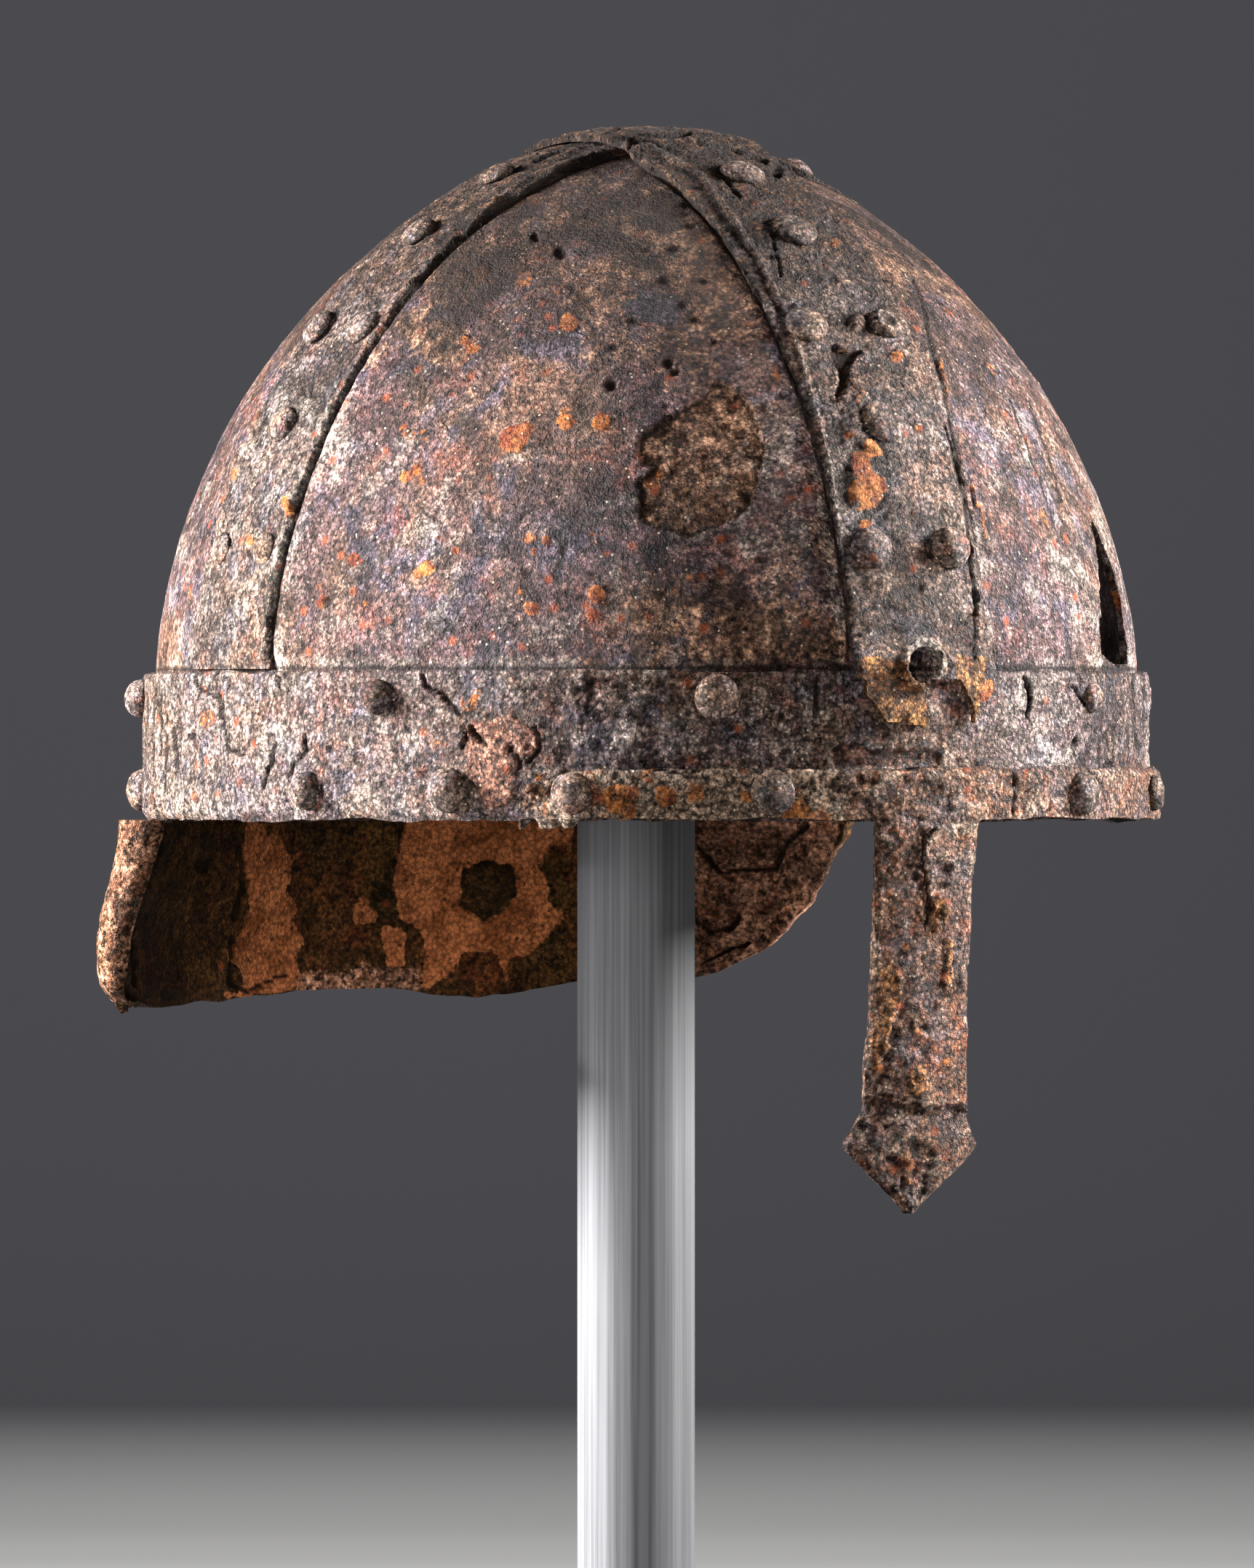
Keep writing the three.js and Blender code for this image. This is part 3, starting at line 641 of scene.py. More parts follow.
def woolFelt():
    # Pressed wool felt: dark grey, with short fibres lying every way
    material, tree, shader, place = plainMaterial("woolFelt")
    fibre = add(tree, "ShaderNodeTexNoise", [("Vector", place)], Scale=perMetre(0.7), Detail=5,
                Roughness=0.75, Distortion=1.5).outputs["Fac"]
    bump = add(tree, "ShaderNodeBump", [("Height", fibre)], Strength=0.8, Distance=0.3 * millimetre)
    tree.links.new(bump.outputs["Normal"], shader.inputs["Normal"])
    tree.links.new(ramp(tree, fibre, (0.3, "#333336"), (0.7, "#5b5b60")), shader.inputs["Base Color"])
    shader.inputs["Roughness"].default_value = 0.95
    shader.inputs["Sheen Weight"].default_value = 0.3
    return material


materials["brushedAluminium"] = brushedAluminium()
materials["powderCoat"] = powderCoat()
materials["woolFelt"] = woolFelt()
print("materials made")


# Plates
plateLook = {"cell": 0.85, "coarseCell": 1.5, "hiddenCell": 4, "seam": 0.5, "crownHole": 3.5,
             "lowerEdge": 1.5}
plateSides = {
    "front_left_plate": (0, plateLook["cell"]),
    "back_left_plate": (1, plateLook["coarseCell"]),
    "back_right_plate": (2, plateLook["coarseCell"]),
    "front_right_plate": (3, plateLook["cell"]),
}
bandHalf = helmet["bandWidth"] / 2


def plateSurface(quarter, cell):
    a, b = helmet["halfLength"], helmet["halfWidth"]
    hidden = math.degrees(bandHalf / a) * 0.75
    step = math.degrees(cell / (a + b) * 2)
    turns = spaced((0, hidden, 3), (hidden, 90 - hidden, step), (90 - hidden, 90, 3)) / 90
    rise = np.degrees(cell / (0.55 * (a + helmet["domeHeight"])))
    angles = spaced((90, 8, rise), (8, 1, 2))
    low = spaced((helmet["browHeight"] - plateLook["lowerEdge"], 3, plateLook["hiddenCell"]), (3, 0.6, 0.8))
    share = np.concatenate([np.ones(len(low)), np.sin(np.radians(angles)) ** (2 / helmet["wallPower"])])
    drop = np.concatenate([low, np.zeros(len(angles))])
    share = np.maximum(share, plateLook["crownHole"] / b)
    inset = np.arcsin(plateLook["seam"] / 2 / (share * b))[:, None]
    turn = quarter * math.pi / 2 + inset + (math.pi / 2 - 2 * inset) * turns[None, :]
    x = b * share[:, None] * np.sin(turn)
    y = -a * share[:, None] * np.cos(turn)
    points, normals = domeSurface(x, y, 0, np.broadcast_to(drop[:, None], x.shape))
    return Surface(points, normals)


def plateRelief(surface, seed):
    p = surface.points
    surface.height += 0.55 * blotches(p, 46, seed) + 0.16 * grain(p, 13, 3, seed + 5)
    surface.height += 0.07 * grain(p, 3.4, 2, seed + 9)
    thin = smooth(blotches(p, 16, seed + 12) * 2.2)
    edge = smooth((grain(p, 11, 3, seed + 13) - 0.28) / 0.06)
    surface.height -= 0.22 * edge * (0.4 + 0.6 * thin)
    surface.height -= 0.3 * pits(p, 4.2, seed + 15, 0.16)
    spots = pits(p, 9, seed + 17, 0.13)
    surface.height += 0.2 * spots
    surface.tint(spots, rust=0.5)
    # Clouds of dark and of dusty oxide, and browner ones where the crust is thin
    cloud = blotches(p, 26, seed + 30) + 0.6 * grain(p, 12, 4, seed + 31, 0.6)
    surface.tint(smooth(1.1 * cloud - 0.05), dark=0.42, pale=-0.3)
    surface.tint(smooth(-1.1 * cloud - 0.05), pale=0.35)
    surface.tint(smooth(2 * grain(p, 19, 4, seed + 33, 0.6) - 0.3), bare=0.3)
    surface.tint(smooth((p[..., 2] - 75) / 60), pale=-0.6, dark=0.68, bare=0.35)
    # Beside the bands the plate is built up, with a groove along each band's edge
    across = np.minimum(np.abs(p[..., 0]), np.abs(p[..., 1]))
    beside = across - bandHalf
    swell = smooth((beside + 0.3) / 1.0) * smooth(1 - (beside - 1.5) / 17)
    swell = swell * (0.75 + 0.25 * blotches(p, 18, seed + 20))
    above = p[..., 2] - helmet["browHeight"]
    belowCrown = smooth((helmet["domeHeight"] - above) / 25)
    surface.height += 1.2 * np.clip(swell, 0, 1) * smooth(above / 6) * belowCrown
    # Painted shade in the groove along each band's edge and in the joint under the brow band's top edge
    surface.tint(smooth(1.1 - np.abs(beside) / 0.5), dark=0.5)
    surface.tint(smooth(1 - np.abs(above) / 1.2), dark=0.8)
    surface.tint(smooth(1.2 - np.abs(above - 1.2) / 1.6) * smooth(1.4 * blotches(p, 7, seed + 23) + 0.6),
                 pale=0.5)
    surface.tint(smooth(1 - np.abs(beside - 2.2) / 2.4) * smooth(1.4 * blotches(p, 9, seed + 24) + 0.4),
                 pale=0.3)


rightPlateMarks = {
    "peeled": [(979, 525), (968, 545), (953, 553), (930, 571), (905, 576), (893, 590), (877, 601), (880, 620),
               (884, 635), (897, 636), (886, 650), (874, 665), (877, 685), (879, 702), (890, 716),
               (902, 725), (925, 733), (945, 738), (968, 728), (1002, 716), (1030, 700), (1045, 666),
               (1050, 615), (1030, 560), (1019, 538), (996, 530)],
    "orange": [((782, 445), 17, 1.0), ((706, 604), 24, 1.0), ((724, 590), 14, 0.8), ((778, 582), 14, 1.0),
               ((828, 582), 15, 0.8), ((751, 744), 9, 0.9), ((733, 760), 7, 0.7), ((490, 771), 13, 0.7),
               ((588, 782), 13, 0.8), ((575, 790), 9, 0.6), ((728, 835), 13, 0.9), ((819, 815), 15, 0.9),
               ((812, 845), 11, 0.8), ((536, 857), 9, 0.5), ((442, 830), 9, 0.7), ((446, 818), 7, 0.6),
               ((627, 758), 8, 0.6), ((606, 742), 8, 0.4), ((560, 655), 12, 0.7), ((575, 646), 9, 0.6),
               ((505, 830), 7, 0.6), ((715, 812), 7, 0.7), ((760, 700), 10, 0.3), ((665, 380), 14, 0.35),
               ((720, 383), 16, 0.35), ((770, 398), 12, 0.3), ((735, 280), 9, 0.4), ((880, 238), 11, 0.35),
               ((560, 595), 14, 0.4), ((580, 600), 12, 0.35), ((580, 662), 8, 0.5), ((905, 470), 12, 0.3),
               ((945, 794), 9, 0.5), ((820, 740), 12, 0.25), ((640, 470), 10, 0.4), ((1070, 520), 10, 0.3),
               ((1085, 690), 12, 0.25), ((930, 812), 8, 0.3)],
    "pits": [((770, 345), 9), ((735, 325), 6), ((920, 500), 6), ((928, 512), 5), ((840, 530), 7),
             ((452, 827), 6)],
    "stain": [(550, 450), (575, 440), (640, 455), (658, 480), (640, 505), (600, 500), (565, 485)],
    "ruddy": [(820, 760), (960, 770), (1120, 700), (1150, 900), (800, 900)],
    "slate": [(600, 330), (960, 400), (900, 560), (850, 700), (760, 780), (640, 700), (560, 520)],
    "warm": [(850, 260), (960, 270), (985, 330), (960, 400), (905, 380), (870, 330)],
}


def rightPlateDetail(surface):
    marks = rightPlateMarks
    inside = surface.patch(marks["peeled"], -0.55, 3.0, bare=0.9, pale=0.7)
    edge = smooth(1.2 - np.abs(inside - 2) / 3.5) * surface.facing
    shadowedSide = smooth((1000 - surface.pixels[..., 0]) / 60)
    p = surface.points
    floor = smooth(inside / 4) * surface.facing
    surface.height += 0.25 * floor * grain(p, 2.6, 3, 181, 0.7)
    surface.tint(floor * smooth(1.5 * blotches(p, 7, 182) - 0.1), rust=0.4)
    surface.tint(floor * smooth(1.8 * blotches(p, 3.5, 183) - 0.5), dark=0.2)
    surface.dark -= 0.35 * floor * smooth(surface.dark * 4)
    # A dark line round the peeled patch, heavier down its left side as a painted shadow along the lifted edge
    surface.tint(edge * (0.25 + 0.75 * shadowedSide), dark=0.85)
    for centre, radius, strength in marks["orange"]:
        surface.dome(centre, 0.9 * radius, 0.3 * strength, 1.0, rust=0.3 + 0.45 * strength)
    for centre, radius in marks["pits"]:
        surface.dome(centre, radius, -0.9, 1.1, dark=0.5, rust=0.3)
    surface.patch(marks["stain"], 0.1, 24, bare=0.5, rust=0.2)
    surface.patch(marks["warm"], 0.05, 60, bare=0.3)
    surface.patch(marks["ruddy"], 0.05, 90, bare=0.36, pale=0.3)
    surface.patch(marks["slate"], 0.05, 120, pale=-0.5, dark=0.17)


bandRightEdge = [(1252, 385), (1270, 414), (1277, 476), (1290, 517), (1303, 574), (1315, 635), (1323, 666),
                 (1333, 728), (1336, 784), (1341, 830), (1343, 906)]
leftPlateMarks = {
    "flow": [[(1290, 497), (1296, 530), (1302, 572)], [(1336, 672), (1344, 700), (1352, 742)]],
    "cracks": [[(1300, 600), (1310, 650), (1317, 680)], [(1388, 545), (1410, 600), (1432, 660), (1452, 720)],
               [(1420, 560), (1445, 620), (1462, 690)], [(1330, 650), (1338, 700)]],
}


def leftPlateDetail(surface):
    surface.crack(bandRightEdge, 3.5, 0.5, 0.1, dark=0.7)
    for line in leftPlateMarks["flow"]:
        surface.ridge(line, 3.5, 0.4, rust=0.62)
    surface.cracks(leftPlateMarks["cracks"], 2, 0.25, 0)
    p = surface.points
    # The metal flakes in upright layers around the hole
    layered = smooth((surface.pixels[..., 0] - 1380) / 80) * surface.facing
    surface.height -= 0.3 * layered * smooth((blotches(p * (2.4, 2.4, 0.5), 9, 77) - 0.1) / 0.08)


lossMarks = {
    "turn": 40, "width": 20, "height": 30, "foot": 1.5,
    "outline": [(-1, 0.07), (-0.55, 0), (0.9, 0), (1, 0.3), (0.85, 0.7), (0.35, 1), (0.05, 0.8),
                (-0.75, 0.45)],
}


def lossKept(surface):
    loss = lossMarks
    p = surface.points + 0.8 * np.stack([grain(surface.points, 5, 3, 41), grain(surface.points, 5, 3, 42),
                                         grain(surface.points, 5, 3, 43)], -1)
    middle, normal = wallSurface(loss["turn"], helmet["browHeight"], 0)
    away = p - middle
    across = (away @ np.array([-normal[1], normal[0], 0])) / (loss["width"] / 2)
    up = (away[..., 2] - loss["foot"]) / loss["height"]
    scale = loss["height"]
    inside = insideDistance(np.stack([across * loss["width"] / 2, up * scale], -1),
                            [(x * loss["width"] / 2, y * scale) for x, y in loss["outline"]])
    surface.tint(smooth(1 + inside / 4), dark=0.35, rust=0.3)
    return inside < 0


for index, (name, (quarter, cell)) in enumerate(plateSides.items()):
    surface = plateSurface(quarter, cell)
    plateRelief(surface, 100 + 40 * index)
    kept = None
    if name == "front_right_plate":
        rightPlateDetail(surface)
    if name == "front_left_plate":
        leftPlateDetail(surface)
        kept = lossKept(surface)
    surface.finish(3, 0.14)
    inner = 0.35 * grain(surface.points, 9, 3, 500 + index)
    sheetPiece(name + "_iron", surface, helmet["plateWall"], inner, kept, [name],
               materials["plateIron"])


# Bands
bandLook = {"cell": 0.62, "coarseCell": 1.1, "lap": 13, "lapRamp": 8, "crossingRamp": 12, "wobble": 0.7}


def bandSurface(isUpper, cells, seed):
    # The upper band runs from front to back, the lower one from side to side
    reach = helmet["halfLength"] if isUpper else helmet["halfWidth"]
    spread = helmet["halfWidth"] if isUpper else helmet["halfLength"]
    arc = 0.79 * (reach + helmet["domeHeight"])
    crossing = bandHalf + 1

    def stops(cell):
        angles = np.arange(1, round(arc / cell) + 1) / round(arc / cell) * math.pi / 2
        share = np.sin(angles) ** (2 / helmet["wallPower"])
        laps = spaced((0, bandLook["lap"], cell))[1:] if isUpper else np.array([])
        return np.concatenate([share, np.ones(len(laps))]), np.concatenate([np.zeros(len(share)), laps])

    firstShare, firstDrop = stops(cells[0])
    secondShare, secondDrop = stops(cells[1])
    share = np.concatenate([-firstShare[::-1], [0], secondShare])
    drop = np.concatenate([firstDrop[::-1], [0], secondDrop])
    across = np.linspace(-1, 1, round(helmet["bandWidth"] / cells[0]) + 1)
    along = np.sign(share) * (np.arccos(np.clip(1 - np.abs(share), -1, 1)) * reach + drop)
    wobble = {}
    for edge in (-1, 1):
        line = np.stack([along, np.full(len(along), edge * 50.0), np.zeros(len(along))], -1)
        wobble[edge] = bandLook["wobble"] * grain(line, 14, 4, seed, 0.6)
    sway = np.where(across[None, :] > 0, wobble[1][:, None], wobble[-1][:, None])
    halfAcross = bandHalf + sway * np.abs(across) ** 6
    v = across[None, :] * halfAcross
    grown = np.sign(share)[:, None] * np.abs(share)[:, None] * reach
    out = grown * np.sqrt(1 - (v / spread) ** 2)
    x, y = (v, out) if isUpper else (out, -v)
    flat = np.broadcast_to(drop[:, None], x.shape)
    points, normals = domeSurface(x, y, 0, flat)
    overBrow = np.where(flat > 0, 1,
                        1 - smooth((points[..., 2] - helmet["browHeight"]) / bandLook["lapRamp"]))
    overBand = 1 - smooth((np.abs(share)[:, None] * reach - crossing) / bandLook["crossingRamp"])
    level = np.full(x.shape, bandLevel + helmet["bandWall"])
    if isUpper:
        level = level + overBrow * (overBrowLevel - bandLevel) + overBand * (overBandLevel - bandLevel)
    points, normals = domeSurface(x, y, level, flat)
    surface = Surface(points, normals)
    surface.across = np.broadcast_to(v, x.shape)
    return surface


def strapRelief(surface, seed, rough=1.0):
    # Forged strap: a dull swell, then thin layers broken away with sharp edges, gritty all over
    p = surface.points
    surface.height += 0.25 * blotches(p, 38, seed)
    for k, (size, step, level) in enumerate(((26, 0.3, 0.3), (13, 0.22, 0.35), (8, 0.18, 0.45))):
        field = grain(p, size, 5, seed + 50 + 9 * k, 0.62)
        surface.height -= step * rough * smooth((field - level) / 0.05)
        surface.tint(smooth(1 - np.abs(field - level) / 0.03), dark=0.15)
    surface.height += 0.13 * rough * grain(p, 2.4, 3, seed + 6, 0.75)
    surface.height -= 0.3 * rough * pits(p, 2.4, seed + 11, 0.08)
    surface.tint(smooth(1.5 * grain(p, 17, 3, seed + 15) + 0.2), pale=0.25)
    surface.tint(smooth((p[..., 2] - 85) / 55), pale=-0.6, dark=0.68, bare=0.35)


def edgeWear(surface, across, half, drop=0.45, reach=1.6):
    near = half - np.abs(across)
    surface.height -= drop * smooth(1 - near / reach) ** 2
    surface.tint(smooth(1 - np.abs(near - 1.0) / 1.2), pale=0.12)


frontBandMarks = {
    "lip": [(878, 194), (922, 218), (963, 241), (992, 279), (1027, 329), (1047, 367), (1070, 408),
            (1091, 446), (1106, 507), (1127, 584), (1142, 650), (1150, 702), (1155, 779), (1160, 855),
            (1165, 916), (1170, 926)],
    "lipPale": [(885, 200), (922, 218), (963, 241), (992, 279), (1027, 329)],
    "layers": [[(1062, 320), (1068, 350), (1072, 380)], [(1060, 322), (1078, 318)],
               [(988, 232), (1012, 262), (1018, 270)]],
    "chip": [(1142, 469), (1162, 478), (1180, 482), (1172, 494), (1160, 506), (1158, 536), (1148, 538),
             (1150, 510), (1141, 490)],
    "shelf": [(1180, 480), (1208, 478), (1245, 470), (1262, 520), (1270, 600), (1240, 626), (1190, 618),
              (1163, 590), (1152, 545), (1160, 506), (1170, 492)],
    "eroded": [(1176, 608), (1200, 600), (1215, 610), (1223, 640), (1218, 672), (1204, 702), (1180, 706),
               (1166, 690), (1162, 650)],
    "brokenRim": ((1232, 447), 29),
    "crown": [[(737, 218), (781, 197), (822, 191), (869, 188), (948, 185)],
              [(845, 213), (870, 196), (905, 200)], [(960, 196), (1010, 206), (1052, 222)]],
    "smallHead": ((1179, 443), 12),
    "rustHead": ((1232, 492), 9),
    "crownPit": ((1068, 234), 9),
    "spots": [((1150, 333), 9, 0.6), ((1024, 262), 12, 0.5), ((1040, 280), 9, 0.4), ((1168, 600), 8, 0.6),
              ((1180, 545), 9, 0.5), ((1262, 590), 7, 0.6), ((1190, 722), 10, 0.6), ((1240, 470), 6, 0.4),
              ((1260, 705), 8, 0.4), ((1215, 800), 9, 0.3)],
    "footHole": ((1268, 913), 15),
    "footSliver": [(1284, 891), (1296, 896), (1303, 912), (1300, 926), (1290, 931)],
    "footLeft": [(1187, 905), (1187, 930), (1190, 962), (1207, 980), (1211, 993), (1222, 995), (1240, 989),
                 (1257, 995), (1274, 1003), (1277, 987), (1278, 970), (1272, 947), (1272, 905)],
    "footRight": [(1316, 900), (1318, 936), (1328, 957), (1338, 975), (1341, 1000), (1349, 990), (1354, 965),
                  (1360, 940), (1362, 900)],
    "dents": [((1203, 735), 45, -0.5), ((1250, 850), 50, -0.4)],
}


def frontBandDetail(surface):
    marks = frontBandMarks
    surface.tint(surface.facing * smooth((surface.pixels[..., 0] - 900) / 100), pale=-0.35, dark=0.12)
    surface.ridge(marks["lip"], 4, 0.5, pale=0.5, rust=0.2)
    surface.ridge(marks["lipPale"], 8, 0.3, pale=0.8)
    surface.crack(bandRightEdge, 3.5, 0.5, 0.1, dark=0.7)
    surface.ridge(bandRightEdge[3:5], 4, 0.3, rust=0.75)
    surface.cracks(marks["crown"], 3.5, 0.9, 0.4)
    surface.cracks(marks["layers"], 2.5, 0.5, 0.2)
    surface.patch(marks["shelf"], 0.3, 3, pale=0.1)
    surface.patch(marks["chip"], -1.2, 2.5, dark=0.45, bare=0.5)
    eroded = smooth(surface.patch(marks["eroded"], -0.25, 5, dark=0.1) / 6) * surface.facing
    crusted = eroded * smooth(1.6 * blotches(surface.points, 4, 371) + 0.8)
    surface.height += 0.5 * crusted
    surface.tint(crusted, rust=0.75)
    surface.dome(*marks["brokenRim"], 0.5, 1.0, pale=0.5)
    surface.dome(*marks["smallHead"], 1.1, 1.0, pale=0.1)
    surface.dome(*marks["rustHead"], 0.7, 1.0, rust=0.7)
    surface.dome(*marks["crownPit"], -0.9, 1.2, dark=0.8)
    surface.rustSpots(marks["spots"], 0.25)
    surface.bumps(marks["dents"])
    # The foot has broken into two flaps that are rusting orange, round the hole of a lost rivet
    for key in ("footLeft", "footRight"):
        surface.patch(marks[key], 0.1, 3, bare=0.9, rust=0.2)
    centre, radius = marks["footHole"]
    away = (surface.pixels - centre) / (1, 1.3)
    fromHole = np.hypot(away[..., 0], away[..., 1])
    rim = smooth(1 - np.abs(fromHole - 1.5 * radius) / (0.75 * radius)) * surface.facing
    surface.height += 0.8 * rim
    surface.tint(rim, pale=0.9)
    surface.patch(marks["footSliver"], 0.9, 3, pale=0.8)


def frontBandKept(surface):
    marks = frontBandMarks
    x, y = surface.ragged[..., 0], surface.ragged[..., 1]
    lost = (y > 938) & (surface.points[..., 1] < 0) & (surface.facing > 0.3)
    for key in ("footLeft", "footRight"):
        lost &= insideDistance(surface.ragged, marks[key]) < 0
    (holeX, holeY), radius = marks["footHole"]
    hole = np.hypot((x - holeX) / radius, (y - holeY) / (1.5 * radius)) < 1
    return ~(lost | hole & (surface.facing > 0.3))


sideBandMarks = {
    "cracks": [[(845, 213), (787, 229), (737, 244), (699, 267), (670, 295)],
               [(737, 218), (781, 197), (822, 191), (869, 188), (948, 185)],
               [(312, 644), (322, 628), (325, 611)]],
    "rust": [[(848, 206), (866, 202), (880, 205)], [(396, 690), (405, 712)]],
    "slit": [(246, 812), (249, 822), (246, 832)],
    "bumps": [((338, 619), 12, 1.0), ((335, 735), 22, 0.5), ((288, 720), 20, 0.4), ((420, 560), 16, 0.5),
              ((330, 812), 22, 0.35), ((395, 690), 14, 0.6)],
    "flakes": [[(330, 560), (352, 548), (368, 575), (350, 600), (328, 590)],
               [(262, 725), (290, 718), (318, 740), (300, 770), (266, 765)],
               [(600, 320), (640, 300), (660, 330), (630, 360), (598, 350)]],
    "orange": [((240, 802), 10, 0.5), ((345, 742), 9, 0.6), ((318, 650), 12, 0.5), ((292, 655), 9, 0.4)],
}


def sideBandDetail(surface):
    marks = sideBandMarks
    # Its front edge has rusted away in a ragged groove between two crusted lips, with painted shade in the
    # groove
    p = surface.points
    edge = bandHalf - surface.across + 0.45 * grain(p, 7, 4, 351, 0.65)
    wornAndShaded = surface.facing * smooth((p[..., 2] - helmet["browHeight"]) / 4)
    surface.height -= 1.3 * wornAndShaded * smooth(1.5 - edge / 0.9)
    surface.tint(wornAndShaded * smooth(1.6 - edge / 0.9), dark=0.9)
    surface.height += 0.4 * wornAndShaded * smooth(1 - np.abs(edge - 2.2) / 1.3)
    surface.tint(wornAndShaded * smooth(1 - np.abs(edge - 2.4) / 1.8) * smooth(2 * blotches(p, 6, 352) + 0.4),
                 rust=0.4)
    layer = edge - 5.5 - 2.5 * blotches(p, 21, 353)
    surface.height -= 0.35 * wornAndShaded * smooth(layer / 0.5) * smooth((p[..., 2] - 75) / 25)
    surface.tint(wornAndShaded * smooth(1 - np.abs(layer) / 0.45) * smooth((p[..., 2] - 75) / 25), dark=0.5)
    surface.cracks(marks["cracks"], 3.5, 0.8, 0.3)
    for line in marks["rust"]:
        surface.ridge(line, 7, 0.5, rust=0.8)
    surface.crack(marks["slit"], 4, 1.2, 0.2)
    surface.bumps(marks["bumps"], pale=0.15)
    for outline in marks["flakes"]:
        surface.patch(outline, -0.4, 3, dark=0.2)
    surface.rustSpots(marks["orange"], 0.3)


for name, isUpper, cells, seed, detail in (
    ("ear_to_ear_band", False, (bandLook["cell"] * 1.1, bandLook["coarseCell"]), 300, sideBandDetail),
    ("brow_to_nape_band", True, (bandLook["cell"], bandLook["coarseCell"]), 340, frontBandDetail),
):
    surface = bandSurface(isUpper, cells, seed)
    strapRelief(surface, seed)
    edgeWear(surface, surface.across, bandHalf)
    detail(surface)
    surface.finish(4, 0.16)
    kept = frontBandKept(surface) if isUpper else None
    inner = 0.12 * grain(surface.points, 6, 2, seed + 70)
    sheetPiece(name + "_iron", surface, helmet["bandWall"], inner, kept, [name],
               materials["bandIron"])


# Brow band
browLook = {"cell": 0.66, "coarseCell": 1.3, "facingTurns": (-128, 66), "wobble": 0.5}
browMarks = {
    "flakes": [
        ([(640, 1000), (648, 985), (668, 990), (700, 982), (712, 994), (724, 1002), (736, 1010), (740, 1030),
          (727, 1041), (716, 1038), (708, 1052), (706, 1085), (695, 1108), (668, 1112), (655, 1080),
          (640, 1062), (636, 1030)],
         0.35, 3, {"bare": 0.9}),
        ([(576, 925), (585, 945), (610, 962), (630, 985), (640, 1003), (650, 1012), (664, 985), (690, 985),
          (720, 990),
          (760, 1010), (1130, 1020), (1130, 925)], -0.35, 3, {"dark": 0.1}),
        ([(1140, 1025), (1175, 1020), (1212, 1030), (1250, 1028), (1293, 1040), (1290, 1052), (1200, 1050),
          (1142, 1050)], -0.6, 4, {"bare": 0.6, "dark": 0.2}),
        ([(200, 925), (240, 925), (272, 940), (300, 962), (312, 1010), (330, 1036), (345, 1042), (352, 1124),
          (200, 1124)], 0.22, 3, {}),
        ([(500, 1000), (530, 990), (548, 1010), (540, 1040), (512, 1045), (498, 1025)], 0.25, 3,
         {"rust": 0.15}),
    ],
    "cracks": [
        [(732, 999), (738, 1012), (741, 1028), (730, 1040), (725, 1047)],
        [(711, 1036), (714, 1046), (713, 1056)], [(647, 1000), (655, 1006), (662, 1014)],
        [(577, 927), (583, 944), (604, 955), (622, 975), (632, 990)],
        [(636, 1000), (641, 1014), (634, 1026)], [(648, 1002), (658, 1015), (668, 1022)],
        [(268, 930), (272, 945), (285, 955), (300, 962)],
        [(300, 962), (303, 990), (308, 1005), (314, 1030), (330, 1036)],
        [(375, 1025), (373, 1048), (367, 1060), (364, 1084)],
        [(418, 1012), (420, 1032), (404, 1048), (398, 1064)], [(380, 932), (381, 948)],
        [(1122, 930), (1121, 985)], [(1398, 1069), (1400, 1117)], [(1476, 945), (1490, 965), (1508, 978)],
        [(238, 1000), (241, 1030), (243, 1060)], [(221, 960), (224, 1000), (223, 1040)],
        [(1410, 930), (1418, 960), (1413, 990)],
    ],
    "holes": [((1480, 1018), 6, -1.6), ((1528, 1053), 8, -1.2), ((263, 1012), 6, -0.8),
              ((703, 1031), 6, -1.0), ((452, 1030), 5, -0.7), ((1075, 985), 6, -0.6),
              ((560, 1003), 6, -0.5)],
    "orange": [((285, 988), 14, 0.45), ((600, 1020), 16, 0.35), ((642, 968), 14, 0.5), ((690, 1000), 16, 0.3),
               ((560, 1063), 22, 0.3), ((730, 1075), 14, 0.25), ((745, 1072), 10, 0.4),
               ((1346, 945), 22, 0.8), ((860, 980), 12, 0.3), ((1000, 1035), 18, 0.25),
               ((1420, 1010), 16, 0.3), ((655, 955), 10, 0.4)],
    "layers": [[(214, 940), (212, 1000), (214, 1060), (212, 1118)], [(228, 950), (230, 1010), (228, 1090)],
               [(1560, 935), (1562, 980), (1566, 1030)], [(1574, 930), (1577, 960), (1575, 990)]],
}


def browSurface():
    low, high = browLook["facingTurns"]
    radius = (helmet["halfLength"] + helmet["halfWidth"]) / 2
    step = math.degrees(browLook["cell"] / radius)
    coarse = math.degrees(browLook["coarseCell"] / radius)
    turns = spaced((low, high, step), (high, low + 360, coarse))
    rows = spaced((0, helmet["browHeight"] - helmet["layerGap"], browLook["cell"] * 1.12))
    turn, z = np.meshgrid(turns, rows)
    ring = wallSurface(turn, np.zeros_like(z), 0)[0]
    lower = smooth(1 - z / 7) * (grain(ring, 9, 3, 61) - 0.3)
    upper = smooth((z - helmet["browHeight"] + 7) / 7) * (grain(ring, 12, 3, 62) - 0.6)
    z = z + browLook["wobble"] * (lower + upper)
    points, normals = wallSurface(turn, z, np.full(z.shape, bandLevel + helmet["browWall"]))
    return Surface(points, normals)


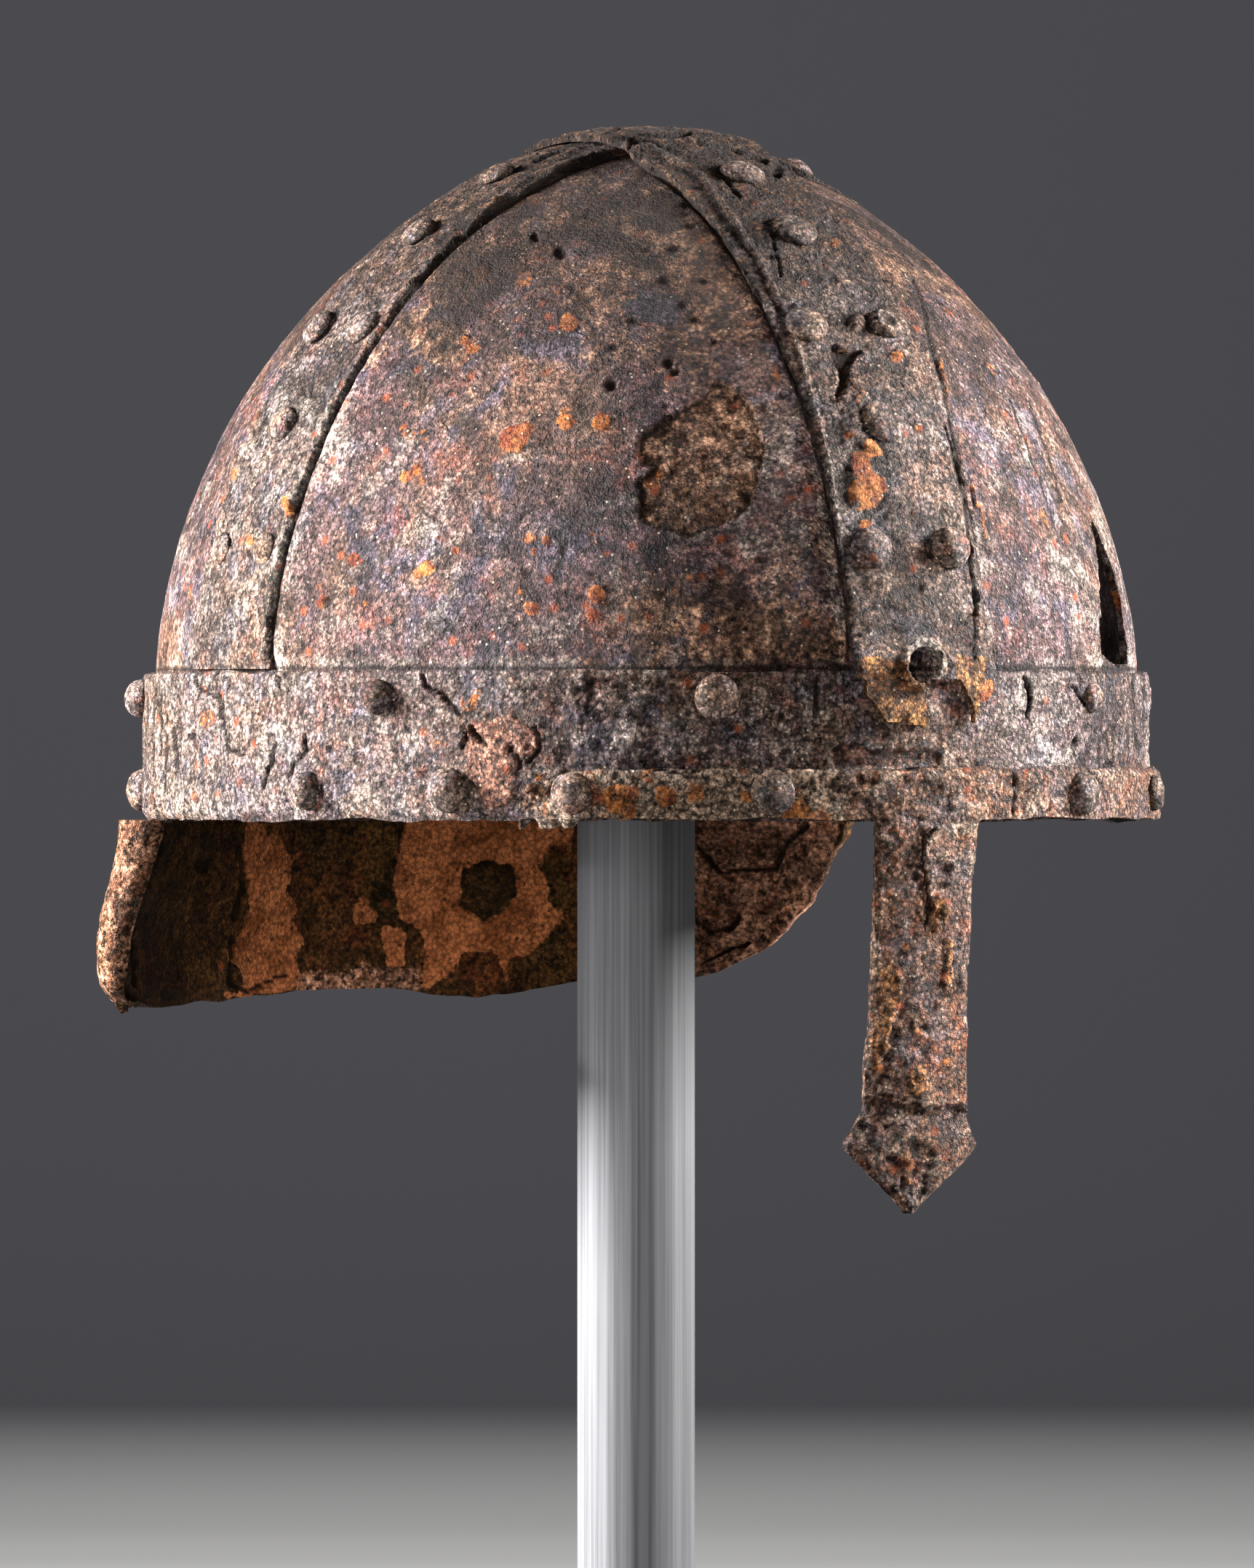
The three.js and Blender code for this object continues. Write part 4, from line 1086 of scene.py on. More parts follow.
def browRelief(surface):
    p = surface.points
    strapRelief(surface, 400, 1.25)
    fromEdge = np.minimum(p[..., 2], helmet["browHeight"] - p[..., 2])
    surface.height -= 0.8 * smooth(1 - fromEdge / 2.4) ** 2
    surface.height += 0.3 * smooth((p[..., 2] - 2) / 3) * smooth(1 - (p[..., 2] - 5) / 5)
    # Weathered in upright layers where it turns away to the sides
    upright = blotches(p * (1, 1, 0.16), 2.6, 430)
    aside = smooth((np.abs(surface.pixels[..., 0] - view["axisPixel"]) - 560) / 90)
    surface.height -= 0.25 * aside * smooth((upright - 0.25) / 0.1)
    surface.tint(aside * smooth((upright - 0.5) / 0.1), dark=0.3)
    dusty = smooth((500 - surface.pixels[..., 0]) / 260) * surface.facing
    surface.tint(dusty * (0.6 + 0.4 * blotches(p, 9, 433)), pale=0.25)
    surface.tint(surface.facing * smooth((surface.pixels[..., 0] - 1420) / 90), dark=0.38)
    for outline, rise, edge, tints in browMarks["flakes"]:
        surface.patch(outline, rise, edge, **tints)
    surface.cracks(browMarks["cracks"], 3, 0.9, 0.15, dark=1.0)
    surface.cracks(browMarks["layers"], 2, 0.4, 0.1, dark=0.4)
    surface.bumps(browMarks["holes"], dark=0.8)
    surface.rustSpots(browMarks["orange"], 0.12)
    surface.finish(4, 0.18)


surface = browSurface()
browRelief(surface)
sheetPiece("brow_band_iron", surface, helmet["browWall"], 0.15 * grain(surface.points, 5, 2, 470), None,
           ["brow_band"], materials["browIron"], wrap=True)


# Nasal, forged with its strip along the brow
nasalLook = {
    "cell": 0.56, "stripHeight": 11.3, "reachRight": 47.3, "reachLeft": 53,
    "drop": 85, "lean": 6, "wobble": 0.35,
    # drop as a share of the whole, then the left and right edges in mm from the middle
    "outline": [(0, -12.0, 12.4), (0.18, -12.1, 12.1), (0.37, -12.3, 11.9), (0.55, -12.7, 12.0),
                (0.69, -13.1, 12.4), (0.735, -13.2, 12.7), (0.79, -15.6, 15.2), (0.825, -17.6, 16.9),
                (0.85, -15.9, 15.1), (0.9, -11.4, 9.9), (0.96, -5.2, 3.6), (1, -1.6, 0.4)],
}
nasalMarks = {
    "edge": [(1206, 1135), (1204, 1300), (1196, 1440), (1193, 1510)],
    "cracks": [([(1283, 1138), (1270, 1152), (1268, 1180), (1274, 1215), (1279, 1250), (1270, 1276)], 2.2,
                0.6)],
    "ledge": [(1186, 1512), (1215, 1503), (1248, 1512), (1275, 1524), (1305, 1520), (1334, 1532)],
    "raised": [(1283, 1134), (1270, 1152), (1268, 1180), (1274, 1215), (1279, 1252), (1300, 1262),
               (1318, 1230), (1336, 1200), (1336, 1134)],
    "scales": [[(1278, 1236), (1294, 1232), (1302, 1250), (1296, 1276), (1282, 1284), (1276, 1262)],
               [(1296, 1286), (1308, 1292), (1306, 1330), (1312, 1362), (1300, 1372), (1292, 1350),
                (1298, 1320)],
               [(1206, 1336), (1222, 1330), (1240, 1352), (1236, 1385), (1222, 1400), (1226, 1440),
                (1206, 1470), (1200, 1420), (1204, 1380)],
               [(1252, 1470), (1270, 1464), (1276, 1492), (1262, 1508), (1250, 1494)],
               [(1240, 1590), (1252, 1582), (1262, 1600), (1254, 1626), (1242, 1612)]],
    "spots": [((1210, 1470), 8, 0.5), ((1300, 1460), 9, 0.5), ((1235, 1180), 6, 0.4), ((1318, 1150), 7, 0.4),
              ((1262, 1420), 8, 0.6), ((1246, 1300), 7, 0.5), ((1316, 1400), 8, 0.5),
              ((1250, 1600), 10, 0.6), ((1284, 1440), 7, 0.5), ((1224, 1226), 6, 0.4),
              ((1206, 1570), 7, 0.4), ((1290, 1580), 6, 0.4)],
    "stripCracks": [[(1398, 1064), (1400, 1090), (1396, 1120)], [(1500, 1062), (1515, 1080)],
                    [(1180, 1052), (1220, 1058), (1290, 1054)], [(900, 1060), (930, 1066), (960, 1062)]],
}


def nasalSurface():
    look = nasalLook
    table = np.array(look["outline"])
    cell = look["cell"]
    radius = helmet["halfWidth"]
    turnOf = lambda x: np.degrees(np.arcsin(x / radius))
    step = math.degrees(cell / (helmet["halfLength"] * 0.95))
    left, right = turnOf(table[0, 1]), turnOf(table[0, 2])
    turns = spaced((-look["reachRight"], left, step), (left, right, step), (right, look["reachLeft"], step))
    rows = spaced((-look["drop"], 0, cell), (0, look["stripHeight"], cell))
    turn, z = np.meshgrid(turns, rows)
    share = np.clip(-z / look["drop"], 0, 1)
    nose = (turn > left - 1e-6) & (turn < right + 1e-6)
    t = np.clip((turn - left) / (right - left), 0, 1)
    edges = [np.interp(share, table[:, 0], table[:, k]) for k in (1, 2)]
    sides = np.stack([z * 0, z * 0, z], -1)
    edges[0] = edges[0] + look["wobble"] * grain(sides, 9, 4, 81, 0.6) * smooth(share * 12)
    edges[1] = edges[1] + look["wobble"] * grain(sides + 40, 9, 4, 82, 0.6) * smooth(share * 12)
    x = edges[0] + (edges[1] - edges[0]) * t
    turn = np.where(nose & (z < 0), turnOf(np.clip(x, -radius, radius)), turn)
    fadeIn = smooth((turn + look["reachRight"]) / 9)
    ring = wallSurface(turn, z * 0, 0)[0]
    high = look["stripHeight"] * (0.62 + 0.38 * fadeIn) + 0.5 * grain(ring, 8, 3, 83)
    stripZ = z / look["stripHeight"] * high + 0.35 * (1 - z / look["stripHeight"]) * grain(ring, 7, 3, 84)
    z = np.where(z >= 0, stripZ, z)
    thin = np.where(z >= 0, 1.5 * (1 - smooth((turn + look["reachRight"]) / 14)), 0)
    level = overBrowLevel + helmet["stripWall"] - look["lean"] * share - thin
    points, normals = wallSurface(turn, z, level)
    surface = Surface(points, normals)
    surface.share = share
    surface.t = t
    surface.widthHere = edges[1] - edges[0]
    return surface, nose | (np.meshgrid(turns, rows)[1] >= 0)


surface, kept = nasalSurface()
strapRelief(surface, 440, 1.3)
fromSide = np.minimum(surface.t, 1 - surface.t) * surface.widthHere
onNose = smooth(surface.share * 40)
surface.height -= 0.8 * smooth(1 - fromSide / 1.8) ** 2 * onNose
surface.height += 0.5 * np.sin(np.pi * surface.t) * onNose
surface.ridge(nasalMarks["edge"], 7, 0.35, pale=0.35)
for line, width, depth in nasalMarks["cracks"]:
    surface.crack(line, width, depth, 0.2)
surface.patch(nasalMarks["raised"], 0.45, 3, pale=0.2)
for outline in nasalMarks["scales"]:
    surface.patch(outline, 0.4, 3, bare=0.8)
ledge = np.interp(surface.pixels[..., 0], *np.array(nasalMarks["ledge"]).T)
below = smooth((surface.ragged[..., 1] - ledge) / 4)
surface.height -= 0.9 * below * onNose * surface.facing
surface.crack(nasalMarks["ledge"], 2.5, 0.3, 0.2, dark=0.6)
surface.cracks(nasalMarks["stripCracks"], 2.2, 0.5, 0.1)
surface.rustSpots(nasalMarks["spots"], 0.15)
surface.tint(smooth((surface.share - 0.76) / 0.06), dark=0.32)
# Painted light: the strip's middle, which lies in shade, is painted paler; the red-brown rust on it is its
# own
pixelAcross = surface.pixels[..., 0]
middle = smooth((pixelAcross - 700) / 80) * smooth((1180 - pixelAcross) / 40) * (1 - onNose)
surface.tint(middle, pale=0.9, rust=0.25)
surface.tint(middle * smooth(2 * blotches(surface.points, 5, 451)), rust=0.35)
topEdge = nasalLook["stripHeight"] - surface.points[..., 2]
surface.height -= 0.9 * smooth(1 - topEdge / 2.6) ** 2
surface.finish(4, 0.16)
inner = 0.15 * grain(surface.points, 5, 2, 470)
sheetPiece("nasal_iron", surface, helmet["stripWall"], inner, kept, ["nasal"],
           materials["nasalIron"])


# Neck guard
guardLook = {
    "cell": 0.82, "drop": 41, "reachLeft": 57.2, "reachRight": 76, "flange": 42, "flangeHeight": 12.5,
    "flare": 5, "spring": 3.6, "hem": 3.4, "hemWidth": 8,
    # mm inward at the right end's foot
    "curl": [(0, 0), (0.65, 0), (0.8, 0.6), (0.88, 1.3), (0.94, 3.2), (1, 6.5)],
    # drop as a share of the whole, then the share of each end's reach that is left there
    "ends": [(0, 1, 1), (0.1, 0.98, 0.995), (0.25, 0.955, 0.985), (0.46, 0.91, 0.97), (0.72, 0.85, 0.955),
             (0.85, 0.8, 0.94), (0.93, 0.74, 0.92), (1, 0.64, 0.87)],
    # degrees from the nape, then how far short of the full drop the foot stops there
    "foot": [(-57, 7), (-46, 5), (-36, 4), (-22, 0.7), (-15, 1.7), (-6, 3.1), (0, 3.1), (13, 2.5), (24, 0.5),
             (42, -0.6), (76, 0)],
}
guardMarks = {
    "orange": [[(328, 1120), (354, 1151), (397, 1160), (419, 1145), (424, 1171), (406, 1192), (402, 1223),
                (404, 1253), (391, 1266), (402, 1292), (397, 1327), (402, 1353), (389, 1366), (293, 1390),
                (293, 1357), (311, 1353), (313, 1283), (328, 1253), (324, 1197)],
               [(554, 1110), (545, 1153), (536, 1197), (538, 1240), (543, 1262), (571, 1275), (593, 1296),
                (588, 1318), (580, 1353), (606, 1340), (632, 1314), (671, 1314), (684, 1349), (710, 1366),
                (697, 1322), (727, 1301), (779, 1257), (762, 1236), (745, 1188), (762, 1166), (792, 1162),
                (792, 1110)],
               [(476, 1214), (506, 1214), (510, 1266), (484, 1270), (473, 1244)],
               [(515, 1270), (554, 1283), (545, 1327), (523, 1322)]],
    "ruddy": [(945, 1100), (1190, 1100), (1170, 1160), (1100, 1320), (1000, 1370), (945, 1370)],
    "dusty": [(398, 1340), (440, 1330), (500, 1325), (580, 1330), (580, 1380), (398, 1385)],
    "cracks": [([(319, 1165), (328, 1214), (315, 1262)], 6),
               ([(309, 1292), (309, 1353), (332, 1364), (350, 1353)], 4),
               ([(350, 1353), (369, 1346), (384, 1340)], 3), ([(554, 1130), (545, 1153), (538, 1190)], 3),
               ([(962, 1164), (984, 1190), (994, 1198), (1018, 1190), (1064, 1190)], 4),
               ([(1112, 1134), (1088, 1153), (1072, 1188)], 6),
               ([(1083, 1201), (1093, 1233), (1107, 1237)], 3),
               ([(959, 1265), (978, 1279), (1010, 1271), (1016, 1257)], 5),
               ([(1069, 1260), (1056, 1276), (1064, 1290)], 5),
               ([(967, 1318), (1008, 1303), (1042, 1293)], 3),
               ([(218, 1123), (211, 1165), (198, 1192), (192, 1214), (174, 1220), (174, 1353)], 4)],
    "blisters": [((274, 1188), 14, -0.8), ((523, 1236), 17, 0.8), ((669, 1223), 40, 1.3),
                 ((985, 1255), 25, 0.9), ((1012, 1225), 16, 0.4), ((1060, 1210), 14, 0.4)],
    "dark": [[(175, 1130), (300, 1130), (310, 1200), (300, 1300), (285, 1385), (180, 1385)],
             [(424, 1120), (550, 1120), (536, 1190), (538, 1260), (500, 1330), (420, 1335), (404, 1250)]],
    "crusted": [[(636, 1190), (665, 1178), (700, 1190), (706, 1225), (690, 1255), (660, 1268), (632, 1240)],
                [(508, 1222), (530, 1218), (540, 1236), (528, 1252), (510, 1248)]],
}


def guardSurface():
    look = guardLook
    table = np.array(look["ends"])
    step = math.degrees(look["cell"] / ((helmet["halfLength"] + helmet["halfWidth"]) / 2))
    fine = 0.4 * step
    hemTurns = look["hemWidth"] / look["cell"] * step
    turns = spaced((-look["reachLeft"], hemTurns - look["reachLeft"], fine),
                   (hemTurns - look["reachLeft"], -look["flange"], step),
                   (-look["flange"], look["flange"], step),
                   (look["flange"], look["reachRight"] - hemTurns, step),
                   (look["reachRight"] - hemTurns, look["reachRight"], fine))
    rows = spaced((-look["drop"], 0, look["cell"]), (0, look["flangeHeight"], look["cell"]))
    turn, z = np.meshgrid(turns, rows)
    kept = (np.abs(turn) < look["flange"] + 1e-6) | (z < 1e-6)
    low = np.clip(-z / look["drop"], 0, 1)
    reach = np.where(turn < 0, look["reachLeft"], look["reachRight"])
    shrink = np.where(turn < 0, np.interp(low, table[:, 0], table[:, 1]),
                      np.interp(low, table[:, 0], table[:, 2]))
    free = np.clip((np.abs(turn) - look["flange"]) / (reach - look["flange"]), 0, 1)
    line = np.stack([turn, turn * 0, turn * 0], -1)
    z = z + low * (np.interp(turn, *np.array(look["foot"]).T) + 0.5 * grain(line, 7, 3, 91))
    sign = np.sign(turn)
    edge = 0.7 * grain(np.stack([sign * 30, sign * 0, z], -1), 8, 3, 92) * smooth((1 - low) / 0.15)
    turnHere = turn * shrink + smooth((free - 0.6) / 0.4) * edge * sign
    fromEnd = (reach - np.abs(turn)) / step * look["cell"]
    hem = smooth((look["hemWidth"] - fromEnd) / 1.5)
    curl = np.interp(low, *np.array(look["curl"]).T) * smooth(free * 2) * (turn > 0)
    sprung = look["spring"] * smooth(free * 1.4)
    flared = look["flare"] * smooth(low * 1.3)
    level = overBrowLevel + helmet["guardWall"] + sprung + flared + hem * look["hem"] * (1 - 0.5 * low) - curl
    points, normals = wallSurface(180 + turnHere, z, level)
    return Surface(points, normals), kept, hem, low, fromEnd


surface, kept, hem, low, fromEnd = guardSurface()
strapRelief(surface, 480, 0.8)
thickness = helmet["guardWall"] + hem * 2 * guardLook["hem"] * (1 - 0.5 * low) * smooth((1.02 - low) / 0.2)
bead = 0.85 * thickness
surface.height -= bead * (1 - np.sqrt(1 - np.clip(1 - fromEnd / bead, 0, 1) ** 2))
surface.tint(0.6 + 0.4 * smooth(hem), bare=0.45, pale=0.1)
surface.finish(3, 0.3)
# The inside shows in the photograph, through the gap below the brow band
inside = Surface(surface.points, -surface.normals)
inside.height += 0.35 * blotches(inside.points, 20, 520) + 0.16 * grain(inside.points, 5, 3, 521)
layers = grain(inside.points, 15, 4, 530)
inside.height -= 0.3 * smooth((layers - 0.1) / 0.05)
# An orange layer, broken up, over the dark metal
orange = np.full(inside.height.shape, -1.0)
for outline in guardMarks["orange"]:
    orange = np.maximum(orange, insideDistance(inside.ragged, outline) / 30)
broken = smooth((1.3 * np.clip(orange, -1, 0.6) + 0.55 * grain(inside.points, 15, 4, 531, 0.55)) / 0.08 + 0.7)
for outline in guardMarks["crusted"]:
    crusted = smooth(inside.patch(outline, 0, 3, dark=0.25) / 3 + 0.5)
    broken *= 1 - crusted
    inside.height -= 0.3 * smooth(1 - np.abs(insideDistance(inside.ragged, outline)) / 5)
inside.height += 0.35 * broken
inside.tint(broken * (0.82 + 0.2 * blotches(inside.points, 11, 533)), rust=0.95)
inside.patch(guardMarks["ruddy"], 0.1, 12, bare=1.0, pale=0.9)
ruddySide = inside.facing * smooth((inside.pixels[..., 0] - 950) / 10)
inside.tint(ruddySide * smooth(1.5 * blotches(inside.points, 9, 535)), rust=0.4)
inside.patch(guardMarks["dusty"], 0.05, 24, bare=0.5)
for outline in guardMarks["dark"]:
    inside.patch(outline, -0.1, 14, dark=0.15)
for line, width in guardMarks["cracks"]:
    inside.crack(line, width, 0.8, 0.2)
inside.bumps(guardMarks["blisters"], dark=0.15)
inside.finish(3, 0.2)
inner = helmet["guardWall"] - thickness - inside.height * (1 - hem)
bead = 0.12 * thickness
inner += bead * (1 - np.sqrt(1 - np.clip(1 - fromEnd / bead, 0, 1) ** 2))
shown = inside.facing
surface.rust = surface.rust * (1 - shown) + inside.rust * shown
surface.dark = surface.dark * (1 - shown) + inside.dark * shown
surface.pale = surface.pale * (1 - shown) + inside.pale * shown
surface.bare = surface.bare * (1 - shown) + inside.bare * shown
sheetPiece("neck_guard_iron", surface, helmet["guardWall"], inner, kept, ["neck_guard"],
           materials["shadedGuardIron"])


# Rivets: one is modelled, then each gets its own copy, its own crust and its own wear
rivetLook = {"radius": 4.4, "dome": 2.5, "shank": 1.6, "tail": 3.3, "sides": 28, "rings": 12}
rivetWear = {
    # radius and height as shares of the standard head, and how far the crown has rusted in, in mm
    "rivet_front_crown": (1.1, 0.5, 0), "rivet_front_upper": (1.15, 0.5, 0),
    "rivet_front_higha": (1.05, 0.4, 0), "rivet_front_highb": (0.85, 0.6, 1.5),
    "rivet_front_middle": (1.15, 0.4, 0), "rivet_front_lowa": (1.0, 0.5, 0),
    "rivet_front_lowb": (1.02, 0.9, 0), "rivet_brow_front_left": (0.7, 0.5, 0),
    "rivet_brow_front_right": (1.1, 0.5, 0), "rivet_brow_left": (0.7, 0.5, 1.2),
    "rivet_brow_right": (0.85, 0.85, 0), "rivet_strip_1": (1.0, 0.9, 0), "rivet_strip_2": (1.05, 0.6, 0),
    "rivet_strip_4": (0.85, 0.6, 1.4), "rivet_hem_front_right": (1.05, 0.9, 0),
    "rivet_hem_right": (0.9, 0.95, 0), "rivet_right_lowa": (0.85, 0.3, 0),
    "rivet_right_lowb": (0.8, 0.3, 0), "rivet_right_middle": (0.9, 0.6, 0),
    "rivet_right_higha": (0.95, 0.5, 0), "rivet_right_highb": (0.95, 0.45, 0),
    "rivet_right_upper": (0.95, 0.5, 0), "rivet_right_crown": (0.95, 0.5, 0),
}


def addRivetBlank():
    look = rivetLook
    bpy.ops.mesh.primitive_uv_sphere_add(segments=look["sides"], ring_count=2 * look["rings"],
                                         radius=look["radius"])
    blank = bpy.context.object
    bpy.ops.object.mode_set(mode="EDIT")
    bpy.ops.mesh.bisect(plane_co=(0, 0, 0.01), plane_no=(0, 0, 1), clear_inner=True)
    bpy.ops.transform.resize(value=(1, 1, look["dome"] / look["radius"]), center_override=(0, 0, 0))
    bpy.ops.mesh.select_non_manifold()
    for width, step in ((0.99, -0.35), (look["shank"] / look["radius"], 0), (1, -4), (1, -4),
                        (look["tail"] / look["shank"], 0), (0.92, -0.6), (0.6, -0.5), (0.2, -0.15)):
        bpy.ops.mesh.extrude_region_move(TRANSFORM_OT_translate={"value": (0, 0, step)})
        bpy.ops.transform.resize(value=(width, width, 1))
    bpy.ops.mesh.edge_face_add()
    bpy.ops.mesh.select_all(action="SELECT")
    bpy.ops.mesh.normals_make_consistent(inside=False)
    bpy.ops.object.mode_set(mode="OBJECT")
    blank.select_set(False)
    return blank


def rivetPiece(blank, node, seed):
    radius, tall, hollow = rivetWear.get(node, (0.9 + 0.2 * (seed % 5) / 5, 0.65 + 0.4 * (seed % 7) / 7, 0))
    cad = coordinates(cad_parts[node].data) / millimetre - inRow(np.zeros(3))
    middle = (cad.min(0) + cad.max(0)) / 2
    belowDome = 1e-3 if middle[2] < helmet["browHeight"] + 2 else 0
    axis = domeSurface(middle[0], middle[1], 0, belowDome)[1]
    heights = (cad - middle) @ axis
    seat = heights.max() - 2.3
    foot = heights.min() - seat
    mesh = blank.data.copy()
    piece = bpy.data.objects.new(node + "_iron", mesh)
    bpy.context.scene.collection.objects.link(piece)
    place = coordinates(mesh)
    blankFoot = place[:, 2].min()
    below = place[:, 2] < -1
    place[below, 2] = place[below, 2] - blankFoot + foot
    head = ~below
    far = np.hypot(place[:, 0], place[:, 1]) / rivetLook["radius"]
    place[head, 2] = place[head, 2] * tall - 0.35
    place[head, :2] *= 1.04 * radius
    crust = place + np.array([17.0, 5.0, 3.0]) * seed
    lumps = 0.16 * grain(crust, 3.2, 3, 600) + 0.07 * grain(crust, 1.1, 2, 610)
    lumps = lumps - 0.2 * pits(crust, 2.1, 620, 0.2)
    place[head, 2] += (lumps * (0.4 + 0.6 * smooth((1.05 - far) / 0.3)))[head]
    place[head, :2] *= (1 + 0.06 * grain(crust, 4.5, 2, 630))[head, None]
    sunk = hollow * smooth(1.2 - far / 0.62) * head * (far < 0.95)
    place[:, 2] -= sunk
    toward = Vector(axis).to_track_quat("Z", "Y").to_matrix()
    placed = place @ np.array(toward).T + middle + axis * seat
    mesh.vertices.foreach_set("co", (inRow(placed) * millimetre).ravel())
    finish = mesh.attributes.new("finish", "FLOAT_COLOR", "POINT")
    dark = 0.55 * (sunk > 0.4) + 0.5 * np.clip(-lumps - 0.1, 0, 1)
    dark = np.clip(dark + 0.3 * smooth((far - 0.94) / 0.06) * head, 0, 1)
    dark = np.clip(dark + 0.45 * smooth((middle[2] - 85) / 55), 0, 1)
    pale = np.clip(0.5 * lumps + 0.12 * smooth(1 - np.abs(far - 0.6) / 0.3), 0, 1)
    rust = np.clip(0.3 * smooth(1.5 * blotches(crust, 4, 640)), 0, 1)
    finish.data.foreach_set("color", np.stack([rust, pale, dark, 0 * dark], -1).astype(np.float32).ravel())
    for polygon in mesh.polygons:
        polygon.use_smooth = True
    mesh.materials.clear()
    mesh.materials.append(materials["rivetIron"])
    mesh.update()
    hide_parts(node)
    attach(piece, "root")


blank = addRivetBlank()
rivetNodes = sorted(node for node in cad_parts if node.startswith("rivet_"))
for index, node in enumerate(rivetNodes):
    rivetPiece(blank, node, index + 1)
bpy.data.objects.remove(blank)
print("rivets made:", len(rivetNodes))


# Stand
baseHigh = boxOf("stand_base")[1]
postLow, postHigh = boxOf("stand_post")
padLow, padHigh = boxOf("stand_pad")
standLook = {
    "baseRadius": baseHigh[0], "baseTop": baseHigh[2], "postRadius": postHigh[0], "padFoot": padLow[2],
    "padRadius": 29.6, "baseRound": 2.2,
}


def turnedPiece(name, profile, columns, node, material, shape=None):
    # A profile of (radius, height) from its first pole round to its last
    bpy.ops.mesh.primitive_grid_add(x_subdivisions=columns, y_subdivisions=len(profile) - 1, size=2)
    piece = bpy.context.object
    piece.name = piece.data.name = name
    flat = coordinates(piece.data)
    j = np.rint((flat[:, 1] + 1) / 2 * (len(profile) - 1)).astype(int)
    angle = (flat[:, 0] + 1) * math.pi
    radius, height = np.array(profile)[j].T
    place = np.stack([radius * np.cos(angle), radius * np.sin(angle), height], -1)
    if shape:
        place = shape(place)
    piece.data.vertices.foreach_set("co", (place * millimetre).ravel())
    bpy.ops.object.mode_set(mode="EDIT")
    bpy.ops.mesh.select_all(action="SELECT")
    bpy.ops.mesh.remove_doubles(threshold=0.001 * millimetre)
    bpy.ops.mesh.normals_make_consistent(inside=False)
    bpy.ops.object.mode_set(mode="OBJECT")
    bpy.ops.object.shade_smooth_by_angle(angle=math.radians(40))
    piece.data.materials.clear()
    piece.data.materials.append(material)
    piece.select_set(False)
    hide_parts(node)
    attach(piece, "root")


def rounded(radius, low, high, bend, steps=6):
    # A disc's profile with both of its edges rounded
    arc = [math.radians(90 * k / steps) for k in range(steps + 1)]
    top = [(radius - bend + bend * math.sin(t), high - bend + bend * math.cos(t)) for t in arc]
    foot = [(radius - bend + bend * math.cos(t), low + bend - bend * math.sin(t)) for t in arc]
    return [(0, high), (radius * 0.5, high)] + top + foot + [(radius * 0.5, low), (0, low)]


def padTop(place):
    # The pad's top follows the crown, and its felt is slightly uneven
    local = place - inRow(np.zeros(3))
    ceiling = domeSurface(local[:, 0], local[:, 1], -helmet["plateWall"] - 0.6)[0][:, 2] + helmet["rim"]
    onTop = place[:, 2] > standLook["padFoot"] + 8
    place[:, 2] = np.where(onTop, ceiling, place[:, 2])
    place[:, :2] *= (1 + 0.006 * blotches(place, 5, 700))[:, None]
    return place


baseProfile = rounded(standLook["baseRadius"], 0, standLook["baseTop"], standLook["baseRound"])
turnedPiece("stand_base_steel", baseProfile, 128, "stand_base", materials["powderCoat"])
postProfile = rounded(standLook["postRadius"], postLow[2], postHigh[2], 0.6)
turnedPiece("stand_post_rod", postProfile, 96, "stand_post", materials["brushedAluminium"])
padProfile = [(0, padHigh[2])] + [(r, padHigh[2]) for r in range(3, 28, 3)] + [(28.6, padHigh[2])]
padProfile += [(standLook["padRadius"], padLow[2] + 6), (standLook["padRadius"], padLow[2] + 1.5)]
padProfile += [(28.4, padLow[2]), (12, padLow[2]), (0, padLow[2])]
turnedPiece("stand_pad_felt", padProfile, 72, "stand_pad", materials["woolFelt"], padTop)
print("stand made")


